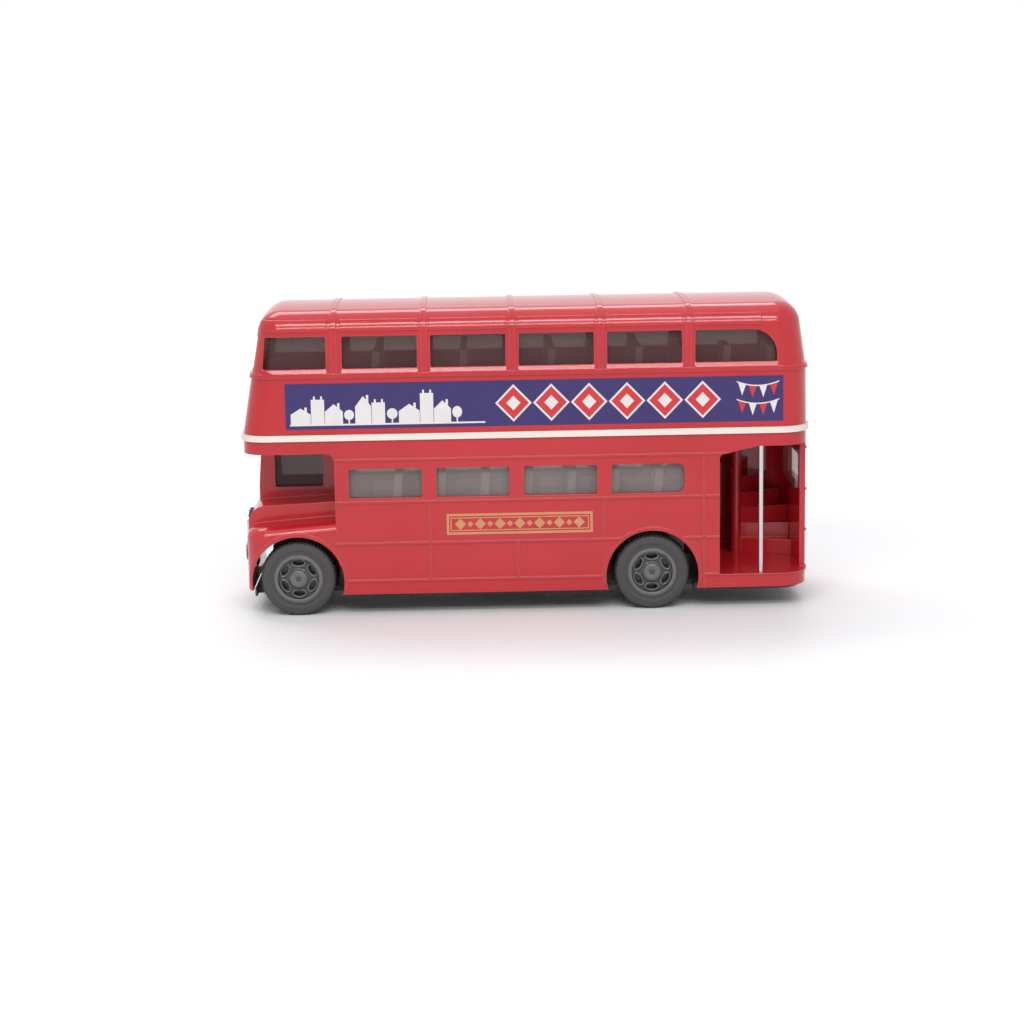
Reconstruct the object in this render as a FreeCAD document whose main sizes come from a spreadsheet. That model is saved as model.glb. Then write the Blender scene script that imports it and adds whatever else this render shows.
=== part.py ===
import FreeCAD, Part

# Die-cast toy double decker bus with a half cab and an open rear platform.
#
# Row frame: +X is the front of the bus, +Y its nearside (the platform side), +Z up. The origin is on the
# floor under the middle of the bus. Millimetres throughout.

import math
import os
import re

import Sketcher
from FreeCAD import Rotation, Vector

doc = FreeCAD.newDocument("DoubleDeckerBus")
sheet = doc.addObject("Spreadsheet::Sheet", "Sizes")

# Driving dimensions: (alias, millimetres unless the note says otherwise, what it is)
SIZES = [
    # overall form
    ("overall_length", "121.4", "over the band between the decks"),
    ("overall_width", "36", "over the band"),
    ("band_proud", "0.5", "how far the band stands out from the castings"),
    ("ground_gap", "4.65", "floor to the bottom of the lower casting"),
    ("lower_height", "33.35", "lower casting, bottom edge to band"),
    ("band_thickness", "1.3", "upper deck floor and its rim"),
    ("upper_height", "26.7", "band to top of roof"),
    ("wall", "1.2", "casting wall"),
    ("relief", "0.28", "height of beads, frames and ribs on the castings"),
    ("front_radius", "5.5", "plan radius of the front corners"),
    ("rear_radius", "6.5", "plan radius of the rear corners"),
    ("joint_gap", "0.05", "clearance where one piece fits inside another"),
    # upper deck
    ("front_rake", "4.6", "front leans back this much at roof height"),
    ("rear_rake", "0.1", "rear leans in at the waist"),
    ("rear_rake_top", "2.2", "and at roof height"),
    ("tumblehome", "0.7", "side leans in at roof height"),
    ("crown_radius", "110", "arch of the roof across the bus"),
    ("roof_radius", "5", "rounding of the roof edge"),
    ("roof_hip", "3", "slope of the ceiling's edges inside"),
    ("upper_sill", "13.9", "band to upper window sill"),
    ("roof_rise", "6", "upper window head to top of roof"),
    ("upper_pillar", "2.8", "between upper windows"),
    ("quarter_pillar", "3.4", "behind the front quarter window"),
    ("quarter_inset", "4.9", "front corner to quarter window, at the sill"),
    ("end_inset", "7", "rear corner to last upper window, at the sill"),
    ("end_curve", "5.4", "rounded top corner of the last upper window"),
    ("window_corner", "0.3", "bevel across the corners of windows"),
    ("quarter_slant", "0.6", "front edge of the quarter window leans back"),
    ("front_mullion", "2", "between the two upper front windows"),
    ("front_window_inset", "4", "upper front window to side of casting"),
    ("rear_window_half", "9.6", "half width of the upper rear window"),
    ("waist_drop", "1.9", "sill down to underside of the waist bead"),
    ("bead_width", "0.9", "waist bead"),
    ("ledge_relief", "0.45", "waist bead and the sloping ledges under the windows stand out"),
    ("rib_width", "1.2", "pillar and roof ribs"),
    ("strip_rise", "1.15", "upper window head to the rain strip over it"),
    ("strip_height", "2.3", "rain strip"),
    ("strip_lap", "0.2", "rain strips and ledges beyond each end of the window"),
    ("strip_stop", "3.4", "last rain strip ends before its window does"),
    ("blind_frame", "0.55", "raised rim of the destination box"),
    ("blind_half", "8.6", "half width of the destination box"),
    ("blind_height", "8.2", "destination box"),
    ("blind_gap", "1.5", "band to destination box"),
    # lower deck
    ("nose_length", "19.4", "front bulkhead to front"),
    ("platform_length", "19.2", "rear bulkhead to rear"),
    ("platform_step", "2.95", "bottom edge to platform floor"),
    ("floor_thickness", "1.2", "platform floor"),
    ("valance", "2.8", "band down to the canopy's lower edge"),
    ("lower_sill", "20.85", "bottom edge to lower window sill"),
    ("lower_head", "6.2", "lower window head to band"),
    ("lower_pillar", "3.1", "between lower windows"),
    ("front_post", "3", "bulkhead to first lower window"),
    ("rear_panel", "7.5", "last lower window to platform"),
    ("last_curve", "1.6", "rounded rear corners of the last lower window"),
    ("bulkhead_inner", "2.2", "Y of the front bulkhead window's inner edge"),
    ("bulkhead_side", "3", "front bulkhead window to side of casting"),
    ("rear_pane_off", "9", "offside half of the lower rear window"),
    ("rear_pane_near", "8", "nearside half of the lower rear window"),
    ("upper_shift", "0.7", "upper bays sit this far ahead of the lower ones"),
    ("bead_thin", "0.5", "lower deck beads and panel strips"),
    ("head_bead", "4.5", "band down to the bead over the lower windows"),
    ("sill_bead", "19.75", "bottom edge to the bead under the windows"),
    ("middle_bead", "10.8", "bottom edge to the middle bead"),
    ("skirt_bead", "2.7", "bottom edge to the skirt bead"),
    ("entrance_strip", "3.1", "platform to the upright strip beside it"),
    ("rear_opening", "6.5", "open part of the rear, from the nearside"),
    ("opening_slope", "1.8", "drop of the opening's front top corner"),
    ("slope_length", "8.2", "platform edge to the end of that slope"),
    ("opening_corner", "1.2", "rounding of that corner"),
    ("doorway_half", "4", "half width of the doorway into the saloon"),
    ("canopy_corner", "1.8", "rounded corner under the canopy at the front pillar"),
    ("stair_width", "13", "newel to the treads' outer ends, before the walls trim them"),
    ("stair_set", "6.2", "platform edge back to the newel"),
    ("stair_side", "5.6", "centre line to the newel, on the offside"),
    ("stair_start", "160", "degrees round the newel to the first tread's edge"),
    ("stair_turn", "18", "degrees from tread to tread"),
    ("newel_radius", "1.1", "post that carries the treads"),
    ("tread_rise", "3.3", "one step"),
    ("tread_lap", "0.9", "each tread hangs this far below the one before"),
    ("stairwell_edge", "1.5", "centre line to the stairwell in the upper floor"),
    ("stairwell_inset", "1", "walls to the stairwell"),
    ("stairwell_corner", "2", "front corners of the stairwell"),
    ("stairwell_curve", "5", "rear offside corner of the stairwell"),
    ("pole_radius", "0.5", "platform pole"),
    ("pole_set", "8.9", "platform edge back to the pole"),
    ("pole_side", "1", "pole to the side of the casting"),
    # nose: bonnet, wings and half cab
    ("wing_height", "15.9", "bottom edge to wing top at the bulkhead"),
    ("wing_fall", "1.7", "wing top drops this much towards the front"),
    ("wing_radius", "2.4", "rounding of the wing tops"),
    ("nose_rise", "1", "nose bottom above the body's bottom edge"),
    ("nose_radius", "5", "plan radius of the wings"),
    ("bonnet_height", "18.9", "bottom edge to bonnet top at the bulkhead"),
    ("bonnet_fall", "1", "bonnet top drops this much towards the front"),
    ("bonnet_inner", "-1", "Y of the bonnet's offside edge"),
    ("bonnet_outer", "8.8", "Y of the bonnet's nearside edge"),
    ("bonnet_radius", "2", "rounding of the bonnet's long edges"),
    ("bonnet_curve", "3.6", "rounding of the bonnet's front"),
    ("bonnet_drop", "5.8", "height of the bonnet's rounded front"),
    ("cab_edge", "-0.5", "Y of the cab's nearside wall"),
    ("cab_setback", "1.7", "windscreen foot behind the front"),
    ("screen_rake", "0.8", "windscreen leans back at the canopy"),
    ("cab_radius", "3", "front offside corner of the cab"),
    ("cab_sill", "20.6", "bottom edge to the cab's window sills"),
    ("cab_head", "1.5", "cab window heads below the canopy"),
    ("cab_post", "1.6", "windscreen to the cab's nearside wall"),
    ("cab_door", "3.6", "bulkhead to the cab's side windows"),
    ("cab_quarter", "0.6", "corner curve to the cab's side windows"),
    ("cab_bevel", "0.4", "nearside front corner of the cab"),
    # wheels and axles
    ("front_overhang", "11", "front to front axle"),
    ("rear_overhang", "33.6", "rear to rear axle"),
    ("tyre_radius", "8.1", "tyre"),
    ("tyre_width", "4.6", "tyre"),
    ("hub_radius", "5.2", "wheel disc, where the tyre seats"),
    ("wheel_inset", "0.9", "tyre's outer face inside the body side"),
    ("axle_radius", "0.8", "steel pin"),
    ("axle_play", "0.06", "radial clearance of the pin in its bearings"),
    ("end_play", "0.4", "wheel to bearing block"),
    ("pin_depth", "0.8", "end of the pin behind the boss face"),
    ("rim_width", "0.8", "outer ring of the wheel"),
    ("web_inset", "1.2", "wheel web behind the rim"),
    ("boss_inset", "0.1", "centre boss behind the rim"),
    ("hub_cap_radius", "1.9", "centre boss of the wheel"),
    ("hub_holes", "6", "holes round the wheel"),
    ("hub_hole_circle", "3.35", "radius of the circle of holes"),
    ("hub_hole_long", "1.35", "half length of a hole, round the wheel"),
    ("hub_hole_high", "0.75", "half height of a hole"),
    ("hub_hole_depth", "1.6", "depth of a hole"),
    ("arch_gap", "1.8", "tyre to wheel arch"),
    ("arch_drop", "0.6", "arch centre below the axle"),
    ("arch_lip", "0.8", "width of the lip round an arch"),
    # base plate
    ("base_thickness", "1.3", "plastic base"),
    ("base_drop", "0.6", "base below the casting's bottom edge"),
    ("bearing_width", "4", "axle bearing blocks"),
    ("bearing_half", "2.2", "half length of a bearing block"),
    ("bearing_cover", "1.3", "bearing block over the pin"),
    ("display_hole", "1.25", "radius of the blind screw hole under the base"),
    ("display_depth", "4", "its depth"),
    ("display_place", "12", "X of the screw hole"),
    ("display_half", "3.4", "half width of the square pad round it"),
    ("display_wall", "1.2", "wall of the boss inside the base"),
    ("display_end", "1", "closed end of the boss"),
    ("pad_drop", "1", "pad below the base"),
    ("screw_radius", "1.6", "head of a base screw"),
    ("screw_height", "0.6", "screw head below the base"),
    ("post_half", "2.3", "half width of the lower casting's screw posts"),
    ("front_post_set", "3", "bulkhead to the front screw post"),
    ("front_post_side", "-4", "Y of the front screw post"),
    ("rear_post_set", "6", "platform edge to the rear screw post"),
    # glazing and seats
    ("glass", "0.7", "clear plastic"),
    ("glass_lap", "0.9", "glazing beyond the window opening"),
    ("seat_pitch", "9.3", "row to row"),
    ("seat_depth", "5", "cushion, front to back"),
    ("seat_height", "5.2", "cushion top above its floor"),
    ("back_height", "17", "upper seat back top above its floor"),
    ("lower_back_height", "11.6", "lower seat back top above its floor"),
    ("back_thickness", "1.5", "seat back"),
    ("back_lean", "0.8", "seat back leans to the rear"),
    ("cushion_rake", "1", "seat front leans back to its foot"),
    ("seat_root", "0.3", "seats run this far into their floor"),
    ("seat_clear", "1.3", "glazing to seat ends"),
    ("upper_start", "8", "rear to the first upper seat"),
    ("lower_start", "2", "rear bulkhead to the first lower seat"),
    ("near_rows", "11", "upper seats on the nearside"),
    ("off_rows", "9", "upper seats on the offside"),
    ("lower_rows", "8", "lower seats on each side"),
    ("aisle_half", "3", "half of the gangway"),
    ("saloon_floor", "1.45", "top of the tyres to underside of the lower seat tray"),
    ("tray_thickness", "1", "floor of the lower seats"),
    ("tray_post", "1.8", "half length of the tray's feet"),
    ("tray_post_side", "4", "half width of the tray's feet"),
    ("tray_set", "7", "tray's end feet in from the bulkheads"),
    # lamps and grille
    ("grille_height", "12.5", "radiator grille"),
    ("grille_half", "4.3", "half its width"),
    ("grille_bottom", "3.9", "bottom edge to grille"),
    ("grille_depth", "1", "chrome moulding"),
    ("grille_frame", "0.8", "rim of the grille"),
    ("grille_shoulder", "2.2", "rounded top corners of the grille"),
    ("grille_offset", "1", "grille to the offside of the bonnet's middle"),
    ("grille_slats", "7", "upright slats"),
    ("slat_width", "0.44", "one slat"),
    ("slat_proud", "0.35", "slats in front of the casting"),
    ("lamp_radius", "1.8", "headlamp"),
    ("lamp_side", "10.2", "Y of the headlamps"),
    ("lamp_height", "8.6", "bottom edge to lamp centre"),
    # driver's seat
    ("chair_off", "12", "centre line to the seat's offside edge"),
    ("chair_near", "6", "centre line to its nearside edge"),
    ("chair_set", "1", "bulkhead to the seat"),
    ("chair_depth", "6", "front to back"),
    ("chair_back", "9", "back above the cab floor"),
    ("chair_cushion", "4", "cushion above the cab floor"),
    ("chair_thickness", "1.6", "seat back"),
]
ALIASES = {row[0] for row in SIZES}
for number, (alias, value, note) in enumerate(SIZES, start=1):
    sheet.set(f"A{number}", alias)
    sheet.set(f"B{number}", value)
    sheet.set(f"C{number}", note)
    sheet.setAlias(f"B{number}", alias)
doc.recompute()

# Places worked out from the driving dimensions, as expressions in the sheet's names.
FRONT = "(overall_length / 2 - band_proud)"
REAR = "(-overall_length / 2 + band_proud)"
HALF = "(overall_width / 2 - band_proud)"
BOTTOM = "ground_gap"
BAND_Z = "(ground_gap + lower_height)"
DECK_Z = f"({BAND_Z} + band_thickness)"
ROOF_Z = f"({DECK_Z} + upper_height)"
WAIST_Z = f"({DECK_Z} + upper_sill - waist_drop)"
UPPER_SILL_Z = f"({DECK_Z} + upper_sill)"
UPPER_HEAD_Z = f"({ROOF_Z} - roof_rise)"
LOWER_SILL_Z = f"({BOTTOM} + lower_sill)"
LOWER_HEAD_Z = f"({BAND_Z} - lower_head)"
CANOPY_Z = f"({BAND_Z} - valance)"
FLOOR_Z = f"({BOTTOM} + platform_step)"
BULKHEAD = f"({FRONT} - nose_length)"
PLATFORM = f"({REAR} + platform_length)"
BAY = f"(({BULKHEAD} - {PLATFORM} - front_post - rear_panel + lower_pillar) / 4)"
LOWER_FIRST = f"({BULKHEAD} - front_post)"
UPPER_FIRST = f"({LOWER_FIRST} + upper_shift)"
FRONT_AXLE = f"({FRONT} - front_overhang)"
REAR_AXLE = f"({REAR} + rear_overhang)"
ARCH_R = "(tyre_radius + arch_gap)"
INSIDE = f"({HALF} - wall)"
ARCH_Z = "(tyre_radius - arch_drop)"
ARCH_TOP = f"({ARCH_Z} + {ARCH_R})"
BASE_Z = f"({BOTTOM} - base_drop)"
BASE_TOP = f"({BASE_Z} + base_thickness)"
NOSE_Z = f"({BOTTOM} + nose_rise)"
WING_Z = f"({BOTTOM} + wing_height)"
BONNET_Z = f"({BOTTOM} + bonnet_height)"
CAB_SILL_Z = f"({BOTTOM} + cab_sill)"
CAB_HEAD_Z = f"({CANOPY_Z} - cab_head)"
CAB_FLOOR_Z = f"({ARCH_TOP} + wall)"
LAMP_Z = f"({BOTTOM} + lamp_height)"
TRAY_Z = "(2 * tyre_radius + saloon_floor)"
TRAY_TOP = f"({TRAY_Z} + tray_thickness)"
TYRE_OUT = f"({HALF} - wheel_inset)"
TYRE_IN = f"({TYRE_OUT} - tyre_width)"
BEARING_OUT = f"({TYRE_IN} - end_play)"
BEARING_IN = f"({BEARING_OUT} - bearing_width)"
PIN_END = f"({TYRE_OUT} - pin_depth)"
BAYS = 4


def bound(text):
    """The expression with the sheet's name in front of each of its aliases."""
    return re.sub(r"[A-Za-z_]\w*", lambda m: "Sizes." + m[0] if m[0] in ALIASES else m[0], str(text))


def size(text):
    """What an expression is worth now."""
    return float(sheet.evalExpression(bound(text)))


def bind(thing, path, text):
    thing.setExpression(path, bound(text))


# ---- sketches and solids -----------------------------------------------------------------------------

PLANES = {"top": "XY_Plane", "side": "XZ_Plane", "front": "YZ_Plane"}
AXES = {
    "x": Rotation(Vector(0, 1, 0), 90),
    "y": Rotation(Vector(1, 0, 0), -90),
    "z": Rotation(),
}


def outline(body, name, plane, offset, corners, arcs=None):
    """A closed sketch on one of the body's origin planes, moved by offset.

    corners: (across, up) or (across, up, radius) expressions in turn. arcs: {corner number: (radius, left)}
    makes the edge after that corner an arc, its centre to the left of the edge or to the right.
    """
    arcs = arcs or {}
    sketch = body.newObject("Sketcher::SketchObject", name)
    support = [f for f in body.Origin.OriginFeatures if f.Role == PLANES[plane]][0]
    sketch.AttachmentSupport = [(support, "")]
    sketch.MapMode = "FlatFace"
    bind(sketch, "AttachmentOffset.Base.z", f"-({offset})" if plane == "side" else offset)
    rows = [(*corner, "0")[:3] for corner in corners]
    count = len(rows)
    points = [Vector(size(a), size(b), 0) for a, b, _ in rows]
    radii = [size(r) for _, _, r in rows]
    arrive, leave, half_angle = [], [], []
    for i, point in enumerate(points):
        back = (points[i - 1] - point).normalize()
        ahead = (points[(i + 1) % count] - point).normalize()
        half = math.acos(max(-1.0, min(1.0, back.dot(ahead)))) / 2
        cut = radii[i] / math.tan(half) if radii[i] > 0 else 0
        arrive.append(point + back * cut)
        leave.append(point + ahead * cut)
        half_angle.append(((back + ahead), half))

    def end(edge, point):
        return 1 if sketch.getPoint(edge, 1).isEqual(point, 1e-6) else 2

    def dimension(kind, *args):
        index = sketch.addConstraint(Sketcher.Constraint(kind, *args[:-1], size(args[-1])))
        bind(sketch, f"Constraints[{index}]", args[-1])

    edges = []
    for i in range(count):
        a, b = leave[i], arrive[(i + 1) % count]
        if i in arcs:
            radius, left = size(arcs[i][0]), arcs[i][1]
            chord = b - a
            sideways = Vector(-chord.y, chord.x, 0).normalize() * (1 if left else -1)
            centre = (a + b) / 2 + sideways * math.sqrt(radius**2 - chord.Length**2 / 4)
            edges.append(sketch.addGeometry(Part.Arc(a, centre - sideways * radius, b), False))
        else:
            edges.append(sketch.addGeometry(Part.LineSegment(a, b), False))
    for i, (across, up, radius) in enumerate(rows):
        before, after = edges[i - 1], edges[i]
        if radii[i] > 0:
            bisector, half = half_angle[i]
            inward = bisector.normalize()
            middle = points[i] + inward * (radii[i] / math.sin(half) - radii[i])
            arc = sketch.addGeometry(Part.Arc(arrive[i], middle, leave[i]), False)
            for edge, point in ((before, arrive[i]), (after, leave[i])):
                link = Sketcher.Constraint("Tangent", edge, end(edge, point), arc, end(arc, point))
                sketch.addConstraint(link)
            dimension("Radius", arc, radius)
            corner = sketch.addGeometry(Part.Point(points[i]), True)
            sketch.addConstraint(Sketcher.Constraint("PointOnObject", corner, 1, before))
            sketch.addConstraint(Sketcher.Constraint("PointOnObject", corner, 1, after))
            held = (corner, 1)
        else:
            held = (after, end(after, points[i]))
            link = Sketcher.Constraint("Coincident", before, end(before, points[i]), *held)
            sketch.addConstraint(link)
        dimension("DistanceX", -1, 1, *held, across)
        dimension("DistanceY", -1, 1, *held, up)
    for i, (radius, _) in arcs.items():
        dimension("Radius", edges[i], radius)
    return sketch


def pad(name, plane, span, corners, arcs=None):
    """A Body with one sketch, padded from span's low end to its high end."""
    body = doc.addObject("PartDesign::Body", name)
    start = span[1] if plane == "side" else span[0]
    feature = body.newObject("PartDesign::Pad", name + "_pad")
    feature.Profile = outline(body, name + "_outline", plane, start, corners, arcs)
    bind(feature, "Length", f"({span[1]}) - ({span[0]})")
    return body


def pocket(body, name, plane, offset, corners, arcs=None):
    """Cuts the body all the way, both ways from the sketch."""
    feature = body.newObject("PartDesign::Pocket", name)
    feature.Profile = outline(body, name + "_outline", plane, offset, corners, arcs)
    feature.Midplane = True
    feature.Type = "ThroughAll"
    return feature


def rounded(body, name, radius, chosen):
    """Fillets the body's edges for which chosen(edge) is true."""
    doc.recompute()
    base = body.Tip
    names = [f"Edge{i}" for i, edge in enumerate(base.Shape.Edges, start=1) if chosen(edge)]
    feature = body.newObject("PartDesign::Fillet", name)
    feature.Base = (base, names)
    bind(feature, "Radius", radius)
    return feature


def block(name, x, y, z):
    """Part::Box between low and high expressions on each axis."""
    box = doc.addObject("Part::Box", name)
    for side, axis, (low, high) in (("Length", "x", x), ("Width", "y", y), ("Height", "z", z)):
        bind(box, side, f"({high}) - ({low})")
        bind(box, f"Placement.Base.{axis}", low)
    return box


def rod(name, axis, radius, span, at):
    """Part::Cylinder along an axis, from span's low end to its high end; at gives its other two places."""
    cylinder = doc.addObject("Part::Cylinder", name)
    cylinder.Placement.Rotation = AXES[axis]
    bind(cylinder, "Radius", radius)
    bind(cylinder, "Height", f"({span[1]}) - ({span[0]})")
    places = iter(at)
    for letter in "xyz":
        bind(cylinder, f"Placement.Base.{letter}", span[0] if letter == axis else next(places))
    return cylinder


def fuse(name, *shapes):
    if len(shapes) == 1:
        return shapes[0]
    joined = doc.addObject("Part::MultiFuse", name)
    joined.Shapes = list(shapes)
    joined.Refine = True
    return joined


def cut(name, base, *tools):
    result = doc.addObject("Part::Cut", name)
    result.Base = base
    result.Tool = fuse(name + "_tools", *tools)
    result.Refine = True
    return result


def common(name, one, other):
    result = doc.addObject("Part::MultiCommon", name)
    result.Shapes = [one, other]
    return result


NODES = {}


def node(name, thing):
    """The object becomes a sub-part: its Label names its file."""
    thing.Label = name
    NODES[name] = thing
    return thing


# ---- the outer forms ---------------------------------------------------------------------------------

def upper_form(name, inset, arched=True):
    """The upper deck's outside, moved inwards by inset: a raked block with leaning sides, corners rounded.

    arched adds the arch of the roof and its rounded edge; without it the form ends in a hipped top.
    """
    front, rear = f"({FRONT} - ({inset}))", f"({REAR} + ({inset}))"
    half = f"({HALF} - ({inset}))"
    top = f"({ROOF_Z} + 1)" if arched else f"({ROOF_Z} - ({inset}) - 1)"
    share = f"(({top} - {DECK_Z}) / ({ROOF_Z} - {DECK_Z}))"
    nose_x = f"{front} - front_rake * {share}"
    tail_x = f"{rear} + rear_rake_top * {share}"
    hip = f"({top} - roof_hip)"
    profile = [
        (front, DECK_Z),
        (nose_x, top) if arched else (f"{nose_x} - roof_hip", top),
        (tail_x, top) if arched else (f"{tail_x} + roof_hip", top),
        (f"{rear} + rear_rake", WAIST_Z),
        (rear, DECK_Z),
    ]
    if not arched:
        profile.insert(1, (f"{front} - front_rake * ({hip} - {DECK_Z}) / ({ROOF_Z} - {DECK_Z})", hip))
        profile.insert(4, (f"{rear} + rear_rake_top * ({hip} - {DECK_Z}) / ({ROOF_Z} - {DECK_Z})", hip))
    body = pad(name, "side", (f"-{half}", half), profile)
    for side, sign in (("near", "1"), ("off", "-1")):
        lean = [
            (f"{sign} * {half}", DECK_Z),
            (f"{sign} * ({half} + 3)", DECK_Z),
            (f"{sign} * ({half} + 3)", f"{top} + 1"),
        ]
        if arched:
            lean.append((f"{sign} * ({half} - tumblehome * {share})", top))
            lean[2] = (f"{sign} * ({half} + 3)", top)
        else:
            lean += [
                (f"{sign} * ({half} - tumblehome - roof_hip * 2)", f"{top} + 1"),
                (f"{sign} * ({half} - tumblehome - roof_hip)", top),
                (f"{sign} * ({half} - tumblehome)", hip),
            ]
        pocket(body, f"{name}_{side}_lean", "front", "0", lean)
    if arched:
        reach = f"({HALF} + 3)"
        arch = f"(crown_radius - ({inset}))"
        edge_z = f"{ROOF_Z} - crown_radius + sqrt({arch}^2 - {reach}^2)"
        above = f"{ROOF_Z} + 4"
        corners = [(f"-{reach}", edge_z), (reach, edge_z), (reach, above), (f"-{reach}", above)]
        pocket(body, name + "_arch", "front", "0", corners, arcs={0: (arch, False)})
    tall, side_y = 5, size(half) - size("tumblehome") - 0.5
    rounded(body, name + "_front", f"front_radius - ({inset})", lambda e: (
        e.BoundBox.ZLength > tall and e.BoundBox.XMin > 0 and abs(e.BoundBox.Center.y) > side_y))
    rounded(body, name + "_rear", f"rear_radius - ({inset})", lambda e: (
        e.BoundBox.ZLength > tall and e.BoundBox.XMax < 0 and abs(e.BoundBox.Center.y) > side_y))
    if arched:
        roof_edge = size(ROOF_Z) - size("roof_radius")
        rounded(body, name + "_roof", f"roof_radius - ({inset})", lambda e: e.BoundBox.ZMin > roof_edge)
    return body


def plan(name, inset, z, front=FRONT, nose="front_radius", tail="rear_radius"):
    """A pad of the lower deck's outline in plan, moved inwards by inset, up to front."""
    side = f"({HALF} - ({inset}))"
    front_radius = f"{nose} - ({inset})" if nose != "0" else "0"
    tail_radius = f"{tail} - ({inset})"
    corners = [
        (f"{front} - ({inset})", f"-{side}", front_radius),
        (f"{front} - ({inset})", side, front_radius),
        (f"{REAR} + ({inset})", side, tail_radius),
        (f"{REAR} + ({inset})", f"-{side}", tail_radius),
    ]
    return pad(name, "top", z, corners)


def opening(name, low, high, sill, head, span, rear_curves=None, slant="0"):
    """A window in the side between two X places, its corners bevelled, padded across span.

    rear_curves: radii of the rear corners (sill, head) where they are rounded instead. slant: how far the
    front edge leans back.
    """
    bevel = "window_corner"
    corners = [
        (f"{high} - {bevel}", sill),
        (f"{high} - {slant} * {bevel} / ({head} - {sill})", f"{sill} + {bevel}"),
        (f"{high} - {slant}", f"{head} - {bevel}"),
        (f"{high} - {slant} - {bevel}", head),
    ]
    if rear_curves:
        corners += [(low, head, rear_curves[1]), (low, sill, rear_curves[0])]
    else:
        corners += [(f"{low} + {bevel}", head), (low, f"{head} - {bevel}")]
        corners += [(low, f"{sill} + {bevel}"), (f"{low} + {bevel}", sill)]
    return pad(name, "side", span, corners)


def end_opening(name, low, high, sill, head, span):
    """A window in the front or rear between two Y places, its corners bevelled."""
    bevel = "window_corner"
    return pad(name, "front", span, [
        (f"{low} + {bevel}", sill), (f"{high} - {bevel}", sill),
        (high, f"{sill} + {bevel}"), (high, f"{head} - {bevel}"),
        (f"{high} - {bevel}", head), (f"{low} + {bevel}", head),
        (low, f"{head} - {bevel}"), (low, f"{sill} + {bevel}"),
    ])


ACROSS = (f"-{HALF} - 2", f"{HALF} + 2")
OFFSIDE = (f"-{HALF} - 2", f"-{HALF} + wall + 0.5")
ALONG = (f"{REAR} - 2", f"{FRONT} + 2")


# ---- upper deck casting: one hollow shell with ribs, beads and window openings ------------------------

# each upper side window: its name, its rear and its front
UPPER_SPANS = [("quarter", f"({UPPER_FIRST} + quarter_pillar)", f"({FRONT} - quarter_inset)")]
for bay in range(BAYS):
    bay_front = f"({UPPER_FIRST} - {bay} * {BAY})"
    UPPER_SPANS.append((f"bay{bay}", f"({bay_front} - {BAY} + upper_pillar)", bay_front))
UPPER_SPANS.append(("end", f"({REAR} + end_inset)", f"({UPPER_FIRST} - {BAYS} * {BAY})"))


def upper_side_windows():
    """Quarter window, the bay windows and the end window with its rounded corner, through both sides."""
    shapes = {
        "quarter": {"slant": "quarter_slant"},
        "end": {"rear_curves": ("window_corner", "end_curve")},
    }
    return [opening(f"upper_{name}", rear, front, UPPER_SILL_Z, UPPER_HEAD_Z, ACROSS, **shapes.get(name, {}))
            for name, rear, front in UPPER_SPANS]


def upper_end_windows():
    """Two front windows and two rear panes."""
    side = f"({HALF} - front_window_inset)"
    front, rear = ("0", f"{FRONT} + 2"), (f"{REAR} - 2", "0")
    inner = "(front_mullion / 2)"
    rows = [
        ("front_near", inner, side, front),
        ("front_off", f"-{side}", f"-{inner}", front),
        ("rear_near", inner, "rear_window_half", rear),
        ("rear_off", "-rear_window_half", f"-{inner}", rear),
    ]
    return [end_opening(f"upper_{name}", low, high, UPPER_SILL_Z, UPPER_HEAD_Z, span)
            for name, low, high, span in rows]


def upper_reliefs():
    """What stands out by the relief: ribs over pillars and roof, rain strips, the blind box."""
    made = []
    ribs = [f"({UPPER_FIRST} + quarter_pillar / 2)"]
    ribs += [f"({UPPER_FIRST} - {bay + 1} * {BAY} + upper_pillar / 2)" for bay in range(BAYS)]
    for number, x in enumerate(ribs):
        span = (f"{x} - rib_width / 2", f"{x} + rib_width / 2")
        made.append(block(f"roof_rib{number}", span, ACROSS, (WAIST_Z, f"{ROOF_Z} + 2")))
    strip = f"({UPPER_HEAD_Z} + strip_rise)"
    for name, rear, front in UPPER_SPANS:
        stop = f"{rear} + strip_stop" if name == "end" else f"{rear} - strip_lap"
        made.append(block(f"{name}_rain_strip", (stop, f"{front} + strip_lap"), ACROSS,
                          (strip, f"{strip} + strip_height")))
    made.append(block("blind_box", ("0", f"{FRONT} + 2"), ("-blind_half", "blind_half"),
                      (BLIND_Z, f"{BLIND_Z} + blind_height")))
    return made


def waist_ledges():
    """The bead round the waist, and over it a ledge that slopes up to each window's sill."""
    lip = f"({WAIST_Z} + bead_width)"
    made = [block("waist_bead", ALONG, ACROSS, (WAIST_Z, lip))]

    def wall_y(z):
        return f"({HALF} - tumblehome * ({z} - {DECK_Z}) / ({ROOF_Z} - {DECK_Z}))"

    out_y, in_y = f"({wall_y(lip)} + ledge_relief)", f"({wall_y(UPPER_SILL_Z)} - joint_gap)"
    slope = [(f"-{out_y}", lip), (out_y, lip), (in_y, UPPER_SILL_Z), (f"-{in_y}", UPPER_SILL_Z)]
    for name, rear, front in UPPER_SPANS:
        span = (f"{rear} - strip_lap", f"{front} + strip_lap")
        made.append(pad(f"{name}_ledge", "front", span, slope))
    return made


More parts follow.
